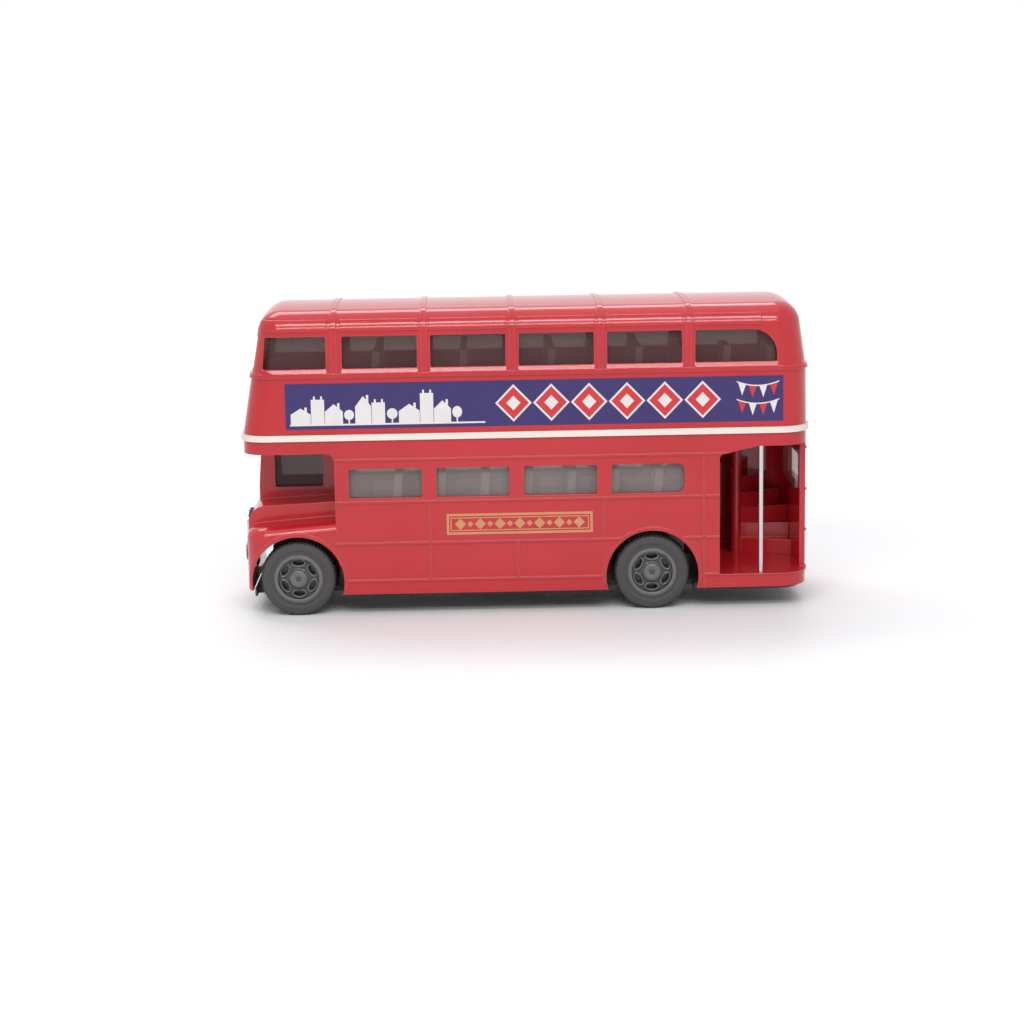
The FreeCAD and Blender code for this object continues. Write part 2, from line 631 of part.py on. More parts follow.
BLIND_Z = f"({DECK_Z} + blind_gap)"
raised = common("upper_raised", upper_form("upper_outset", "-relief"), fuse("upper_marks", *upper_reliefs()))
waist = common("upper_waist", upper_form("waist_outset", "-ledge_relief", arched=False),
               fuse("waist_marks", *waist_ledges()))
upper_outside = fuse("upper_outside", upper_form("upper_outer", "0"), raised, waist)
cavity = upper_form("upper_inner", "wall", arched=False)
blind_face = block("blind_face", (f"{FRONT} - 1", f"{FRONT} + 2"),
                   ("-blind_half + blind_frame", "blind_half - blind_frame"),
                   (f"{BLIND_Z} + blind_frame", f"{BLIND_Z} + blind_height - blind_frame"))
blind_skin = cut("blind_skin", upper_form("blind_outset", "-relief * 2"), upper_form("blind_floor", "0"))
blind_recess = common("blind_recess", blind_face, blind_skin)
node("upper_deck_casting", cut("upper_shell", upper_outside, cavity, blind_recess,
                               *upper_side_windows(), *upper_end_windows()))


# ---- lower deck casting: saloon, platform, canopy, half cab, bonnet and wing in one -------------------

def lower_windows():
    """The bay windows along each side, the last with rounded rear corners, and the two end windows."""
    made = []
    for bay in range(BAYS):
        front = f"({LOWER_FIRST} - {bay} * {BAY})"
        rear = f"({front} - {BAY} + lower_pillar)"
        curves = ("last_curve", "last_curve") if bay == BAYS - 1 else None
        made.append(opening(f"lower_bay{bay}", rear, front, LOWER_SILL_Z, LOWER_HEAD_Z, ACROSS, curves))
    made.append(end_opening("front_bulkhead_window", "bulkhead_inner", f"({HALF} - bulkhead_side)",
                            LOWER_SILL_Z, LOWER_HEAD_Z, (f"{BULKHEAD} - wall - 1", f"{BULKHEAD} + 1")))
    made.append(end_opening("lower_rear_window", "-rear_pane_off", "rear_pane_near",
                            LOWER_SILL_Z, LOWER_HEAD_Z, (f"{REAR} - 2", f"{REAR} + 2")))
    return made


def cab_windows():
    """Windscreen, the driver's side window and the one over the bonnet."""
    rear, front = f"({BULKHEAD} + cab_door)", f"({FRONT} - cab_setback - cab_radius - cab_quarter)"
    screen_depth = (f"{FRONT} - cab_setback - cab_radius + 0.5", f"{FRONT} + 2")
    screen = end_opening("windscreen", f"-{HALF} + cab_radius", "cab_edge - cab_post",
                         CAB_SILL_Z, CAB_HEAD_Z, screen_depth)
    door = opening("cab_side_window", rear, front, CAB_SILL_Z, CAB_HEAD_Z, OFFSIDE)
    inner = opening("cab_inner_window", rear, front, CAB_SILL_Z, CAB_HEAD_Z,
                    ("cab_edge - wall - 0.5", "cab_edge + 1"))
    return [screen, door, inner]


def cab_form(name, inset, z):
    """The half cab above the nose: its windscreen leans back towards the canopy."""
    front = f"({FRONT} - cab_setback - ({inset}))"
    near, off = f"(cab_edge - ({inset}))", f"(-{HALF} + ({inset}))"
    body = pad(name, "top", z, [
        (f"{BULKHEAD} - wall + ({inset})", off),
        (front, off, f"cab_radius - ({inset})"),
        (front, near, "cab_bevel"),
        (f"{BULKHEAD} - wall + ({inset})", near),
    ])
    clear = f"({front} + cab_radius)"
    above = f"({BAND_Z} + 1)"
    pocket(body, name + "_rake", "side", "0", [
        (front, CAB_SILL_Z), (clear, CAB_SILL_Z), (clear, above),
        (f"{front} - screen_rake * ({above} - {CAB_SILL_Z}) / ({CANOPY_Z} - {CAB_SILL_Z})", above),
    ])
    return body


def nose_plan(name, near, off, z):
    """A pad of the nose in plan, between two Y places, as far back as the bulkhead."""
    near_radius = "nose_radius" if near == HALF else "cab_bevel"
    off_radius = "nose_radius" if off == f"-{HALF}" else "0"
    return pad(name, "top", z, [
        (f"{BULKHEAD} - wall", off), (FRONT, off, off_radius),
        (FRONT, near, near_radius), (f"{BULKHEAD} - wall", near),
    ])


# Wings: the nearside one is low, its top falling to the front with a soft edge.
nose_back = f"({BULKHEAD} - wall - 1)"
wing = nose_plan("wing", HALF, "bonnet_outer - 3", (NOSE_Z, f"{WING_Z} + 1"))
pocket(wing, "wing_top", "side", "0", [
    (nose_back, WING_Z), (f"{FRONT} + 1", f"{WING_Z} - wing_fall"),
    (f"{FRONT} + 1", BAND_Z), (nose_back, BAND_Z),
])
rounded(wing, "wing_edge", "wing_radius", lambda e: (
    e.BoundBox.ZMin > size(WING_Z) - size("wing_fall") - 0.3
    and (e.BoundBox.YMax > size(HALF) - 0.1 or e.BoundBox.XMax > size(FRONT) - 0.1)
    and e.BoundBox.XMax > size(BULKHEAD) + 1 and e.BoundBox.YMax > size("bonnet_outer")))

# Bonnet and the cab's foot: higher, and rounded over towards the radiator.
bonnet = nose_plan("bonnet", "bonnet_outer", f"-{HALF}", (NOSE_Z, f"{BONNET_Z} + 1"))
bonnet_front = f"({BONNET_Z} - bonnet_fall)"
ahead_of_nose = f"({FRONT} + bonnet_curve * 2)"
pocket(bonnet, "bonnet_top", "side", "0", [
    (nose_back, BONNET_Z), (FRONT, bonnet_front, "bonnet_curve"), (FRONT, f"{bonnet_front} - bonnet_drop"),
    (ahead_of_nose, f"{bonnet_front} - bonnet_drop"), (ahead_of_nose, BAND_Z), (nose_back, BAND_Z),
])
nose_hollow = plan("nose_hollow", "wall", (f"{BOTTOM} - 1", ARCH_TOP), nose="nose_radius")
bonnet_hollow = block("bonnet_hollow", (f"{BULKHEAD} - wall - 0.5", f"{FRONT} - wall - bonnet_curve"),
                      ("bonnet_inner + wall", "bonnet_outer - wall"),
                      (f"{ARCH_TOP} - 0.5", f"{bonnet_front} - wall"))

cab = cab_form("cab", "0", (f"{ARCH_TOP} + 0.4", f"{CANOPY_Z} + 0.3"))
cab_hollow = cab_form("cab_hollow", "wall", (f"{ARCH_TOP} + wall", CANOPY_Z))
canopy = plan("canopy", "0", (CANOPY_Z, BAND_Z))
canopy_hollow = plan("canopy_hollow", "wall", (f"{CANOPY_Z} + wall", f"{BAND_Z} + 1"))
ahead = block("ahead_of_bulkhead", (f"{BULKHEAD} - wall", f"{FRONT} + 1"), ACROSS, (BOTTOM, f"{BAND_Z} + 2"))
canopy_web = pad("canopy_web", "side", (f"{HALF} - wall", HALF), [
    (BULKHEAD, f"{CANOPY_Z} + 0.3"), (BULKHEAD, f"{CANOPY_Z} - canopy_corner"),
    (f"{BULKHEAD} + canopy_corner", CANOPY_Z), (f"{BULKHEAD} + canopy_corner", f"{CANOPY_Z} + 0.3"),
], arcs={1: ("canopy_corner", False)})

saloon = plan("saloon", "0", (BOTTOM, BAND_Z), front=BULKHEAD, nose="0")
saloon_hollow = plan("saloon_hollow", "wall", (f"{BOTTOM} - 1", f"{BAND_Z} + 1"), front=BULKHEAD, nose="0")
platform_low = f"({FLOOR_Z} - floor_thickness)"
platform_floor = common("platform_floor",
                        plan("platform_plan", "0", (platform_low, FLOOR_Z)),
                        block("platform_space", (f"{REAR} - 1", PLATFORM), ACROSS,
                              (BOTTOM, f"{FLOOR_Z} + 1")))
wall_end = f"({INSIDE} + 0.2)"
bulkhead_x = (PLATFORM, f"{PLATFORM} + wall")
near_bulkhead = block("near_bulkhead", bulkhead_x, ("doorway_half", wall_end), (platform_low, BAND_Z))
off_bulkhead = block("off_bulkhead", bulkhead_x, (f"-{wall_end}", "-doorway_half"), (platform_low, BAND_Z))
riser = block("platform_riser", bulkhead_x, (f"-{wall_end}", wall_end), (platform_low, TRAY_Z))
entrance = pad("entrance", "side", (f"{HALF} - rear_opening", f"{HALF} + 2"), [
    (PLATFORM, FLOOR_Z),
    (PLATFORM, f"{CANOPY_Z} - opening_slope", "opening_corner"),
    (f"{PLATFORM} - slope_length", CANOPY_Z),
    (f"{REAR} - 2", CANOPY_Z),
    (f"{REAR} - 2", FLOOR_Z),
])


def lower_reliefs():
    """Beads along the saloon and the strips that cover its panel joints."""
    made = []
    along = (f"{REAR} - 2", f"{BULKHEAD} + 0.01")
    levels = {
        "head": f"({BAND_Z} - head_bead)", "sill": f"({BOTTOM} + sill_bead)",
        "middle": f"({BOTTOM} + middle_bead)", "skirt": f"({BOTTOM} + skirt_bead)",
    }
    for name, z in levels.items():
        made.append(block(f"{name}_bead_strip", along, ACROSS, (z, f"{z} + bead_thin")))
    strips = [(1, "skirt", "sill"), (2, "skirt", "middle"), (3, "middle", "sill")]
    for pillar, low, high in strips:
        x = f"({LOWER_FIRST} - {pillar} * {BAY} + lower_pillar / 2)"
        made.append(block(f"panel_strip{pillar}", (f"{x} - bead_thin / 2", f"{x} + bead_thin / 2"), ACROSS,
                          (levels[low], levels[high])))
    edge = f"({PLATFORM} + entrance_strip)"
    made.append(block("platform_strip", (edge, f"{edge} + bead_thin"), ACROSS, (BOTTOM, levels["head"])))
    return made


lower_outset = plan("lower_outset", "-relief", (BOTTOM, BAND_Z), front=BULKHEAD, nose="0")
lower_raised = common("lower_raised", lower_outset, fuse("lower_marks", *lower_reliefs()))
arch_places = {"front": FRONT_AXLE, "rear": REAR_AXLE}
arch_lips = [rod(f"{name}_arch_lip", "y", f"{ARCH_R} + arch_lip", (f"-{HALF} - relief", f"{HALF} + relief"),
                 (x, ARCH_Z)) for name, x in arch_places.items()]
lip_skin = cut("lip_skin", plan("lip_outset", "-relief", (NOSE_Z, f"{ARCH_TOP} + 3"), nose="nose_radius"),
               plan("lip_core", "wall / 2", (BOTTOM, f"{ARCH_TOP} + 3"), nose="nose_radius"))
lips = common("arch_lips", fuse("arch_discs", *arch_lips), lip_skin)
arches = [rod(f"{name}_arch_{side}", "y", ARCH_R, span, (x, ARCH_Z)) for name, x in arch_places.items()
          for side, span in (("near", (f"{TYRE_IN} - 2", f"{HALF} + 2")),
                             ("off", (f"-{HALF} - 2", f"-{TYRE_IN} + 2")))]
SCREWS = {
    "front": (f"({BULKHEAD} + front_post_set)", "front_post_side", f"{ARCH_TOP} + 0.5"),
    "rear": (f"({PLATFORM} - rear_post_set)", "0", FLOOR_Z),
}
posts = [block(f"{name}_post", (f"{x} - post_half", f"{x} + post_half"),
               (f"{y} - post_half", f"{y} + post_half"), (BASE_TOP, top))
         for name, (x, y, top) in SCREWS.items()]
grille_y = "((bonnet_inner + bonnet_outer) / 2 - grille_offset)"
GRILLE_LOW = f"({BOTTOM} + grille_bottom)"


def grille_pad(name, gap, x, inset="0"):
    """The radiator's outline from the front: square foot, rounded top."""
    half = f"(grille_half + ({gap}) - ({inset}))"
    top = f"({GRILLE_LOW} + grille_height + ({gap}) - ({inset}))"
    foot = f"({GRILLE_LOW} - ({gap}) + ({inset}))"
    return pad(name, "front", x, [
        (f"{grille_y} - {half}", foot), (f"{grille_y} + {half}", foot),
        (f"{grille_y} + {half}", top, "grille_shoulder"), (f"{grille_y} - {half}", top, "grille_shoulder"),
    ])


nose_holes = [grille_pad("grille_hole", "joint_gap", (f"{FRONT} - wall - 1", f"{FRONT} + 1"))]
lamp_places = {"left": "1", "right": "-1"}
for side, sign in lamp_places.items():
    nose_holes.append(rod(f"{side}_lamp_hole", "x", "lamp_radius + joint_gap",
                          (f"{FRONT} - wall - 0.5", f"{FRONT} + 1"), (f"{sign} * lamp_side", LAMP_Z)))

outside = fuse("lower_outside", saloon, lower_raised, wing, bonnet, cab,
               common("canopy_front", canopy, ahead), lips)
nose_space = block("nose_space", (f"{BULKHEAD} - wall - 0.1", f"{FRONT} + 1"), ACROSS,
                   (f"{BOTTOM} - 1", f"{ARCH_TOP} + 1"))
wheel_space = common("wheel_space", nose_hollow, nose_space)
hollowed = cut("lower_hollowed", outside, saloon_hollow, wheel_space, bonnet_hollow, cab_hollow,
               common("canopy_space", canopy_hollow, ahead))
whole = fuse("lower_whole", hollowed, platform_floor, near_bulkhead, off_bulkhead, riser, canopy_web, *posts)
node("lower_deck_casting", cut("lower_shell", whole, entrance, *arches, *nose_holes,
                               *lower_windows(), *cab_windows()))


# ---- band and upper deck floor with its seats: one off-white moulding ---------------------------------

SEAT_SIDE = f"({INSIDE} - glass - seat_clear)"


def seat_rows(body, prefix, near, first_x, floor_z, back, rows):
    """Bench seats on the body's floor: a side profile across one side, repeated along the bus."""
    low, high = ("aisle_half", SEAT_SIDE) if near else (f"-{SEAT_SIDE}", "-aisle_half")
    foot, top = f"{floor_z} - seat_root", f"{floor_z} + {back}"
    cushion = f"{first_x} + back_thickness + seat_depth"
    seat = body.newObject("PartDesign::Pad", f"{prefix}_pad")
    seat.Profile = outline(body, f"{prefix}_profile", "side", high, [
        (first_x, foot),
        (f"{first_x} - back_lean", top),
        (f"{first_x} - back_lean + back_thickness", top),
        (f"{first_x} + back_thickness", f"{floor_z} + seat_height"),
        (cushion, f"{floor_z} + seat_height"),
        (f"{cushion} - cushion_rake", foot),
    ])
    bind(seat, "Length", f"({high}) - ({low})")
    doc.recompute()
    repeat = body.newObject("PartDesign::LinearPattern", f"{prefix}_rows")
    repeat.Originals = [seat]
    axis = [f for f in body.Origin.OriginFeatures if f.Role == "X_Axis"][0]
    repeat.Direction = (axis, [""])
    bind(repeat, "Length", f"seat_pitch * ({rows} - 1)")
    bind(repeat, "Occurrences", rows)
    body.Tip = repeat
    return repeat


side = f"({HALF} + band_proud)"
upper_floor = pad("upper_floor", "top", (BAND_Z, DECK_Z), [
    (f"{FRONT} + band_proud", f"-{side}", "front_radius + band_proud"),
    (f"{FRONT} + band_proud", side, "front_radius + band_proud"),
    (f"{REAR} - band_proud", side, "rear_radius + band_proud"),
    (f"{REAR} - band_proud", f"-{side}", "rear_radius + band_proud"),
])
doc.recompute()
STAIR_X = f"({PLATFORM} - stair_set)"
STAIR_Y = "(-stair_side)"
well_front, well_rear = f"{PLATFORM} - 0.4", f"{REAR} + wall + stairwell_inset + 0.4"
well_side = f"-{INSIDE} + stairwell_inset"
pocket(upper_floor, "stairwell", "top", "0", [
    (well_front, well_side, "stairwell_corner"), (well_front, "-stairwell_edge", "stairwell_corner"),
    (well_rear, "-stairwell_edge"), (well_rear, well_side, "stairwell_curve"),
])
first_seat = f"({REAR} + upper_start)"
seat_rows(upper_floor, "near_seats", True, first_seat, DECK_Z, "back_height", "near_rows")
past_stairs = f"({first_seat} + (near_rows - off_rows) * seat_pitch)"
seat_rows(upper_floor, "off_seats", False, past_stairs, DECK_Z, "back_height", "off_rows")
node("upper_deck_seats", upper_floor)


# ---- clear glazing strips, sprung inside the castings -------------------------------------------------

def ring(name, maker, height):
    """A hollow band of glazing just inside a casting. maker(name, inset) gives its forms."""
    outer = maker(name + "_out", "wall + joint_gap")
    inner = maker(name + "_in", "wall + joint_gap + glass")
    return common(name + "_strip", cut(name + "_hoop", outer, inner),
                  block(name + "_height", ALONG, ACROSS, height))


def upper_hollow(name, inset):
    return upper_form(name, inset, arched=False)


node("upper_glazing", ring("upper_glass", upper_hollow,
                           (f"{UPPER_SILL_Z} - glass_lap", f"{UPPER_HEAD_Z} + glass_lap")))

lower_height = (f"{LOWER_SILL_Z} - glass_lap", f"{LOWER_HEAD_Z} + glass_lap")


def saloon_form(name, inset):
    return plan(name, inset, (BOTTOM, BAND_Z), front=BULKHEAD, nose="0")


lower_hoop = ring("lower_glass", saloon_form, lower_height)
saloon_part = block("saloon_part", (f"{PLATFORM} + wall + joint_gap", f"{BULKHEAD} + 1"), ACROSS,
                    (BOTTOM, BAND_Z))
node("lower_glazing", common("lower_panes", lower_hoop, saloon_part))
rear_part = block("rear_part", (f"{REAR} - 1", f"{REAR} + wall + joint_gap + glass"),
                  ("-rear_pane_off - glass_lap", "rear_pane_near + glass_lap"), (BOTTOM, BAND_Z))
node("rear_glazing", common("rear_pane", ring("rear_glass", saloon_form, lower_height), rear_part))


def cab_glass_form(name, inset):
    return cab_form(name, inset, (CAB_FLOOR_Z, f"{CANOPY_Z} - 0.1"))


cab_hoop = ring("cab_glass", cab_glass_form, (f"{CAB_SILL_Z} - glass_lap", f"{CAB_HEAD_Z} + glass_lap"))
cab_front_part = block("cab_front_part", (f"{BULKHEAD} + cab_door - 1", f"{FRONT} + 1"), ACROSS,
                       (BOTTOM, BAND_Z))
node("cab_glazing", common("cab_panes", cab_hoop, cab_front_part))


# ---- lower deck floor with its seats ------------------------------------------------------------------

fit = f"({INSIDE} - joint_gap)"
tray_rear, tray_front = f"({PLATFORM} + wall + joint_gap)", f"({BULKHEAD} - wall - joint_gap)"
tray = pad("tray", "top", (TRAY_Z, TRAY_TOP), [
    (tray_rear, f"-{fit}"), (tray_front, f"-{fit}"), (tray_front, fit), (tray_rear, fit),
])
for number, x in enumerate((f"({tray_rear} + tray_set)", "0", f"({tray_front} - tray_set)")):
    foot = tray.newObject("PartDesign::Pad", f"tray_foot{number}")
    foot.Profile = outline(tray, f"tray_foot_outline{number}", "top", BASE_TOP, [
        (f"{x} - tray_post", "-tray_post_side"), (f"{x} + tray_post", "-tray_post_side"),
        (f"{x} + tray_post", "tray_post_side"), (f"{x} - tray_post", "tray_post_side"),
    ])
    bind(foot, "Length", f"{TRAY_Z} - {BASE_TOP}")
doc.recompute()
for name, near in (("near_benches", True), ("off_benches", False)):
    seat_rows(tray, name, near, f"({PLATFORM} + wall + lower_start)", TRAY_TOP,
              "lower_back_height", "lower_rows")
node("lower_deck_seats", tray)


# ---- winding staircase up from the platform -----------------------------------------------------------

STEPS = 9
newel = rod("newel", "z", "newel_radius", (FLOOR_Z, BAND_Z), (STAIR_X, STAIR_Y))
treads = [newel]
for step in range(STEPS):
    top = f"({FLOOR_Z} + {step + 1} * tread_rise)"
    low = FLOOR_Z if step == 0 else f"({top} - tread_rise - tread_lap)"
    angles = [f"(stair_start + {step + part} * stair_turn)" for part in (0, 0.5, 1)]
    rim = [(f"{STAIR_X} + stair_width * cos({angle})", f"{STAIR_Y} + stair_width * sin({angle})")
           for angle in angles]
    treads.append(pad(f"tread{step}", "top", (low, top), [(STAIR_X, STAIR_Y), *rim]))
stair_space = block("stair_space", (f"{REAR} + wall + joint_gap", f"{PLATFORM} - joint_gap"),
                    (f"-{INSIDE} + joint_gap", INSIDE), (FLOOR_Z, BAND_Z))
stair_corner = plan("stair_corner", "wall + joint_gap", (FLOOR_Z, BAND_Z))
node("staircase", common("stairs", fuse("stair_flight", *treads),
                         common("stair_walls", stair_corner, stair_space)))

node("platform_pole", rod("pole", "z", "pole_radius", (FLOOR_Z, CANOPY_Z),
                          (f"{PLATFORM} - pole_set", f"{HALF} - pole_side")))


# ---- nose fittings ------------------------------------------------------------------------------------

grille_depth = (f"{FRONT} - wall", f"{FRONT} + band_proud")
grille_body = cut("grille_rim", grille_pad("grille_block", "0", grille_depth),
                  grille_pad("grille_recess", "0", (FRONT, f"{FRONT} + 2"), inset="grille_frame"))
slats = []
slat_count = int(size("grille_slats"))
for number in range(slat_count):
    place = f"({grille_y} + (grille_half - grille_frame) * (2 * {number + 1} / (grille_slats + 1) - 1))"
    slats.append(block(f"slat{number}", (f"{FRONT} - 0.1", f"{FRONT} + slat_proud"),
                       (f"{place} - slat_width / 2", f"{place} + slat_width / 2"),
                       (f"{GRILLE_LOW} + grille_frame / 2",
                        f"{GRILLE_LOW} + grille_height - grille_frame / 2")))
node("radiator_grille", fuse("grille", grille_body, *slats))

for side, sign in lamp_places.items():
    depth = (f"{FRONT} - wall", f"{FRONT} + band_proud")
    node(f"{side}_headlamp", rod(f"{side}_lamp", "x", "lamp_radius", depth, (f"{sign} * lamp_side", LAMP_Z)))

chair_x = f"({BULKHEAD} + chair_set)"
chair_top, cushion_top = f"({CAB_FLOOR_Z} + chair_back)", f"({CAB_FLOOR_Z} + chair_cushion)"
chair = pad("cab_chair", "side", ("-chair_off", "-chair_near"), [
    (chair_x, CAB_FLOOR_Z), (chair_x, chair_top), (f"{chair_x} + chair_thickness", chair_top),
    (f"{chair_x} + chair_thickness", cushion_top), (f"{chair_x} + chair_depth", cushion_top),
    (f"{chair_x} + chair_depth", CAB_FLOOR_Z),
])
node("driver_seat", chair)


# ---- plastic base with the bearing blocks -------------------------------------------------------------

base = plan("base_plate_form", "wall + joint_gap", (BASE_Z, BASE_TOP), nose="nose_radius")
wheel_gaps = [block(f"{name}_gap_{side}", (f"{x} - tyre_radius - 1", f"{x} + tyre_radius + 1"), span,
                    (f"{BASE_Z} - 1", f"{BASE_TOP} + 1"))
              for name, x in arch_places.items()
              for side, span in (("near", (f"{TYRE_IN} - 1", f"{HALF}")),
                                 ("off", (f"-{HALF}", f"-{TYRE_IN} + 1")))]
bearings, bores = [], []
for name, x in arch_places.items():
    bores.append(rod(f"{name}_bore", "y", "axle_radius + axle_play", ACROSS, (x, "tyre_radius")))
    for side, span in (("near", (BEARING_IN, BEARING_OUT)), ("off", (f"-{BEARING_OUT}", f"-{BEARING_IN}"))):
        bearings.append(block(f"{name}_bearing_{side}", (f"{x} - bearing_half", f"{x} + bearing_half"), span,
                              (f"{BASE_TOP} - 0.1", "tyre_radius + axle_radius + bearing_cover")))


def display_block(name, half, z):
    return block(name, (f"display_place - ({half})", f"display_place + ({half})"), (f"-({half})", half), z)


pad_z = f"({BASE_Z} - pad_drop)"
display_pad = display_block("display_pad", "display_half", (pad_z, f"{BASE_Z} + 0.1"))
display_boss = display_block("display_boss", "display_hole + display_wall",
                             (f"{BASE_TOP} - 0.1", f"{pad_z} + display_depth + display_end"))
display_bore = rod("display_bore", "z", "display_hole", (f"{pad_z} - 1", f"{pad_z} + display_depth"),
                   ("display_place", "0"))
plate = cut("base_outline", base, *wheel_gaps)
node("base_plate", cut("base", fuse("base_solid", plate, display_pad, display_boss, *bearings), *bores,
                       display_bore))
for name, (x, y, _) in SCREWS.items():
    head = rod(f"{name}_screw_head", "z", "screw_radius", (f"{BASE_Z} - screw_height", BASE_Z), (x, y))
    node(f"{name}_base_screw", head)


# ---- axles, wheels and tyres --------------------------------------------------------------------------

def turned(name, corners):
    """A body revolved about its own Y axis from a profile of (y, radius) corners."""
    body = doc.addObject("PartDesign::Body", name)
    feature = body.newObject("PartDesign::Revolution", name + "_turn")
    feature.Profile = outline(body, name + "_profile", "front", "0", corners)
    axis = [f for f in body.Origin.OriginFeatures if f.Role == "Y_Axis"][0]
    feature.ReferenceAxis = (axis, [""])
    feature.Angle = 360
    doc.recompute()
    return body


def wheel(name):
    """Plastic wheel: a disc dished between its rim and centre boss, with a circle of deep oval holes.

    The pin's end is pressed into the boss from behind.
    """
    inner = "(hub_radius - rim_width)"
    web = f"({TYRE_OUT} - web_inset)"
    boss = f"({TYRE_OUT} - boss_inset)"
    body = turned(name, [
        (TYRE_IN, "axle_radius"), (TYRE_IN, "hub_radius"), (TYRE_OUT, "hub_radius"), (TYRE_OUT, inner),
        (web, inner), (web, "hub_cap_radius"), (boss, "hub_cap_radius"), (boss, "0"),
        (PIN_END, "0"), (PIN_END, "axle_radius"),
    ])
    hole = body.newObject("PartDesign::Pocket", name + "_hole")
    long, high, slant = "hub_hole_long", "hub_hole_high", "(hub_hole_high / 2)"
    hole.Profile = outline(body, name + "_hole_outline", "side", f"{web} + 0.1", [
        (f"-{long} + {slant}", f"hub_hole_circle - {high}"),
        (f"{long} - {slant}", f"hub_hole_circle - {high}"), (long, "hub_hole_circle"),
        (f"{long} - {slant}", f"hub_hole_circle + {high}"),
        (f"-{long} + {slant}", f"hub_hole_circle + {high}"), (f"-{long}", "hub_hole_circle"),
    ])
    bind(hole, "Length", "hub_hole_depth + 0.1")
    hole.Reversed = True
    doc.recompute()
    holes = body.newObject("PartDesign::PolarPattern", name + "_holes")
    holes.Originals = [hole]
    axis = [f for f in body.Origin.OriginFeatures if f.Role == "Y_Axis"][0]
    holes.Axis = (axis, [""])
    holes.Angle = 360
    bind(holes, "Occurrences", "hub_holes")
    body.Tip = holes
    return body


def tyre(name):
    """Tyre seated on the wheel's ring."""
    return turned(name, [
        (TYRE_IN, "hub_radius"), (TYRE_IN, "tyre_radius"),
        (TYRE_OUT, "tyre_radius"), (TYRE_OUT, "hub_radius"),
    ])


for end_name, x in arch_places.items():
    node(f"{end_name}_axle", rod(f"{end_name}_pin", "y", "axle_radius", (f"-{PIN_END}", PIN_END),
                                 (x, "tyre_radius")))
    for side, turn in (("left", 0), ("right", 180)):
        for kind, maker in (("wheel", wheel), ("tyre", tyre)):
            made = maker(f"{end_name}_{side}_{kind}_body")
            made.Placement.Rotation = Rotation(Vector(0, 0, 1), turn)
            bind(made, "Placement.Base.x", x)
            bind(made, "Placement.Base.z", "tyre_radius")
            node(f"{end_name}_{side}_{kind}", made)


# ---- checks and files ---------------------------------------------------------------------------------

doc.recompute()
failed = [thing.Name for thing in doc.Objects if {"Invalid", "Error"} & set(thing.State)]
if failed:
    raise RuntimeError(f"did not rebuild: {failed}")
for name, thing in NODES.items():
    if thing.Shape.isNull() or not thing.Shape.isValid():
        raise RuntimeError(f"{name} has no valid shape")
os.makedirs("parts", exist_ok=True)
for name, thing in NODES.items():
    thing.Shape.exportStep(f"parts/{name}.step")
    print(f"{name}: {len(thing.Shape.Solids)} solid, {thing.Shape.Volume:.1f} mm3")
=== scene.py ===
import math

import bmesh
import bpy
from mathutils import Matrix, Vector
from mathutils.bvhtree import BVHTree


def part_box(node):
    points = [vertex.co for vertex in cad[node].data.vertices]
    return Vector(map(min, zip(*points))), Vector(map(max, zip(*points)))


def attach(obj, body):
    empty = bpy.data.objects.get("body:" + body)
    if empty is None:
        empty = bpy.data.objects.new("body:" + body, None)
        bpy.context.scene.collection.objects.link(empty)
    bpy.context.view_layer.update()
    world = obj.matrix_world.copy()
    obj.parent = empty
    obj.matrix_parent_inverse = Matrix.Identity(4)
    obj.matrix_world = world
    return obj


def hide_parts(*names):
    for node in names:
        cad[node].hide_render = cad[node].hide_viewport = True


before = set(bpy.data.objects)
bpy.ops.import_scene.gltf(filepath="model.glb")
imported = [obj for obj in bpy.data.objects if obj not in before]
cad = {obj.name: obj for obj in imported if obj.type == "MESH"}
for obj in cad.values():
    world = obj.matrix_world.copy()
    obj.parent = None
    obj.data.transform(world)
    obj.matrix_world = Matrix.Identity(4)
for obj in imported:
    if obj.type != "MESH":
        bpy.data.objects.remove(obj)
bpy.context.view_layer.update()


# ---- base plate --------------------------------------------------------------------------------------
# The underside is one black polypropylene moulding with the axle bearings and the screw pad on it. Its
# tool was spark eroded, so the faces have a fine even grain, and the edges shine where hands rub them.

class Value:
    """A number, colour or normal that changes over a surface. Sums on it add Math nodes to its finish."""

    def __init__(self, finish, socket):
        self.finish = finish
        self.socket = socket

    def math(self, operation, *terms):
        return self.finish.add("ShaderNodeMath", {"operation": operation}, dict(enumerate(terms)))

    def __add__(self, other):
        return self.math("ADD", self, other)

    def __radd__(self, other):
        return self.math("ADD", other, self)

    def __sub__(self, other):
        return self.math("SUBTRACT", self, other)

    def __rsub__(self, other):
        return self.math("SUBTRACT", other, self)

    def __mul__(self, other):
        return self.math("MULTIPLY", self, other)

    def __rmul__(self, other):
        return self.math("MULTIPLY", other, self)

    def over(self, low, high):
        """0 at low, 1 at high, held in between."""
        limits = {"Value": self, "From Min": low, "From Max": high, "To Min": 0.0, "To Max": 1.0}
        return self.finish.add("ShaderNodeMapRange", {"clamp": True}, limits)


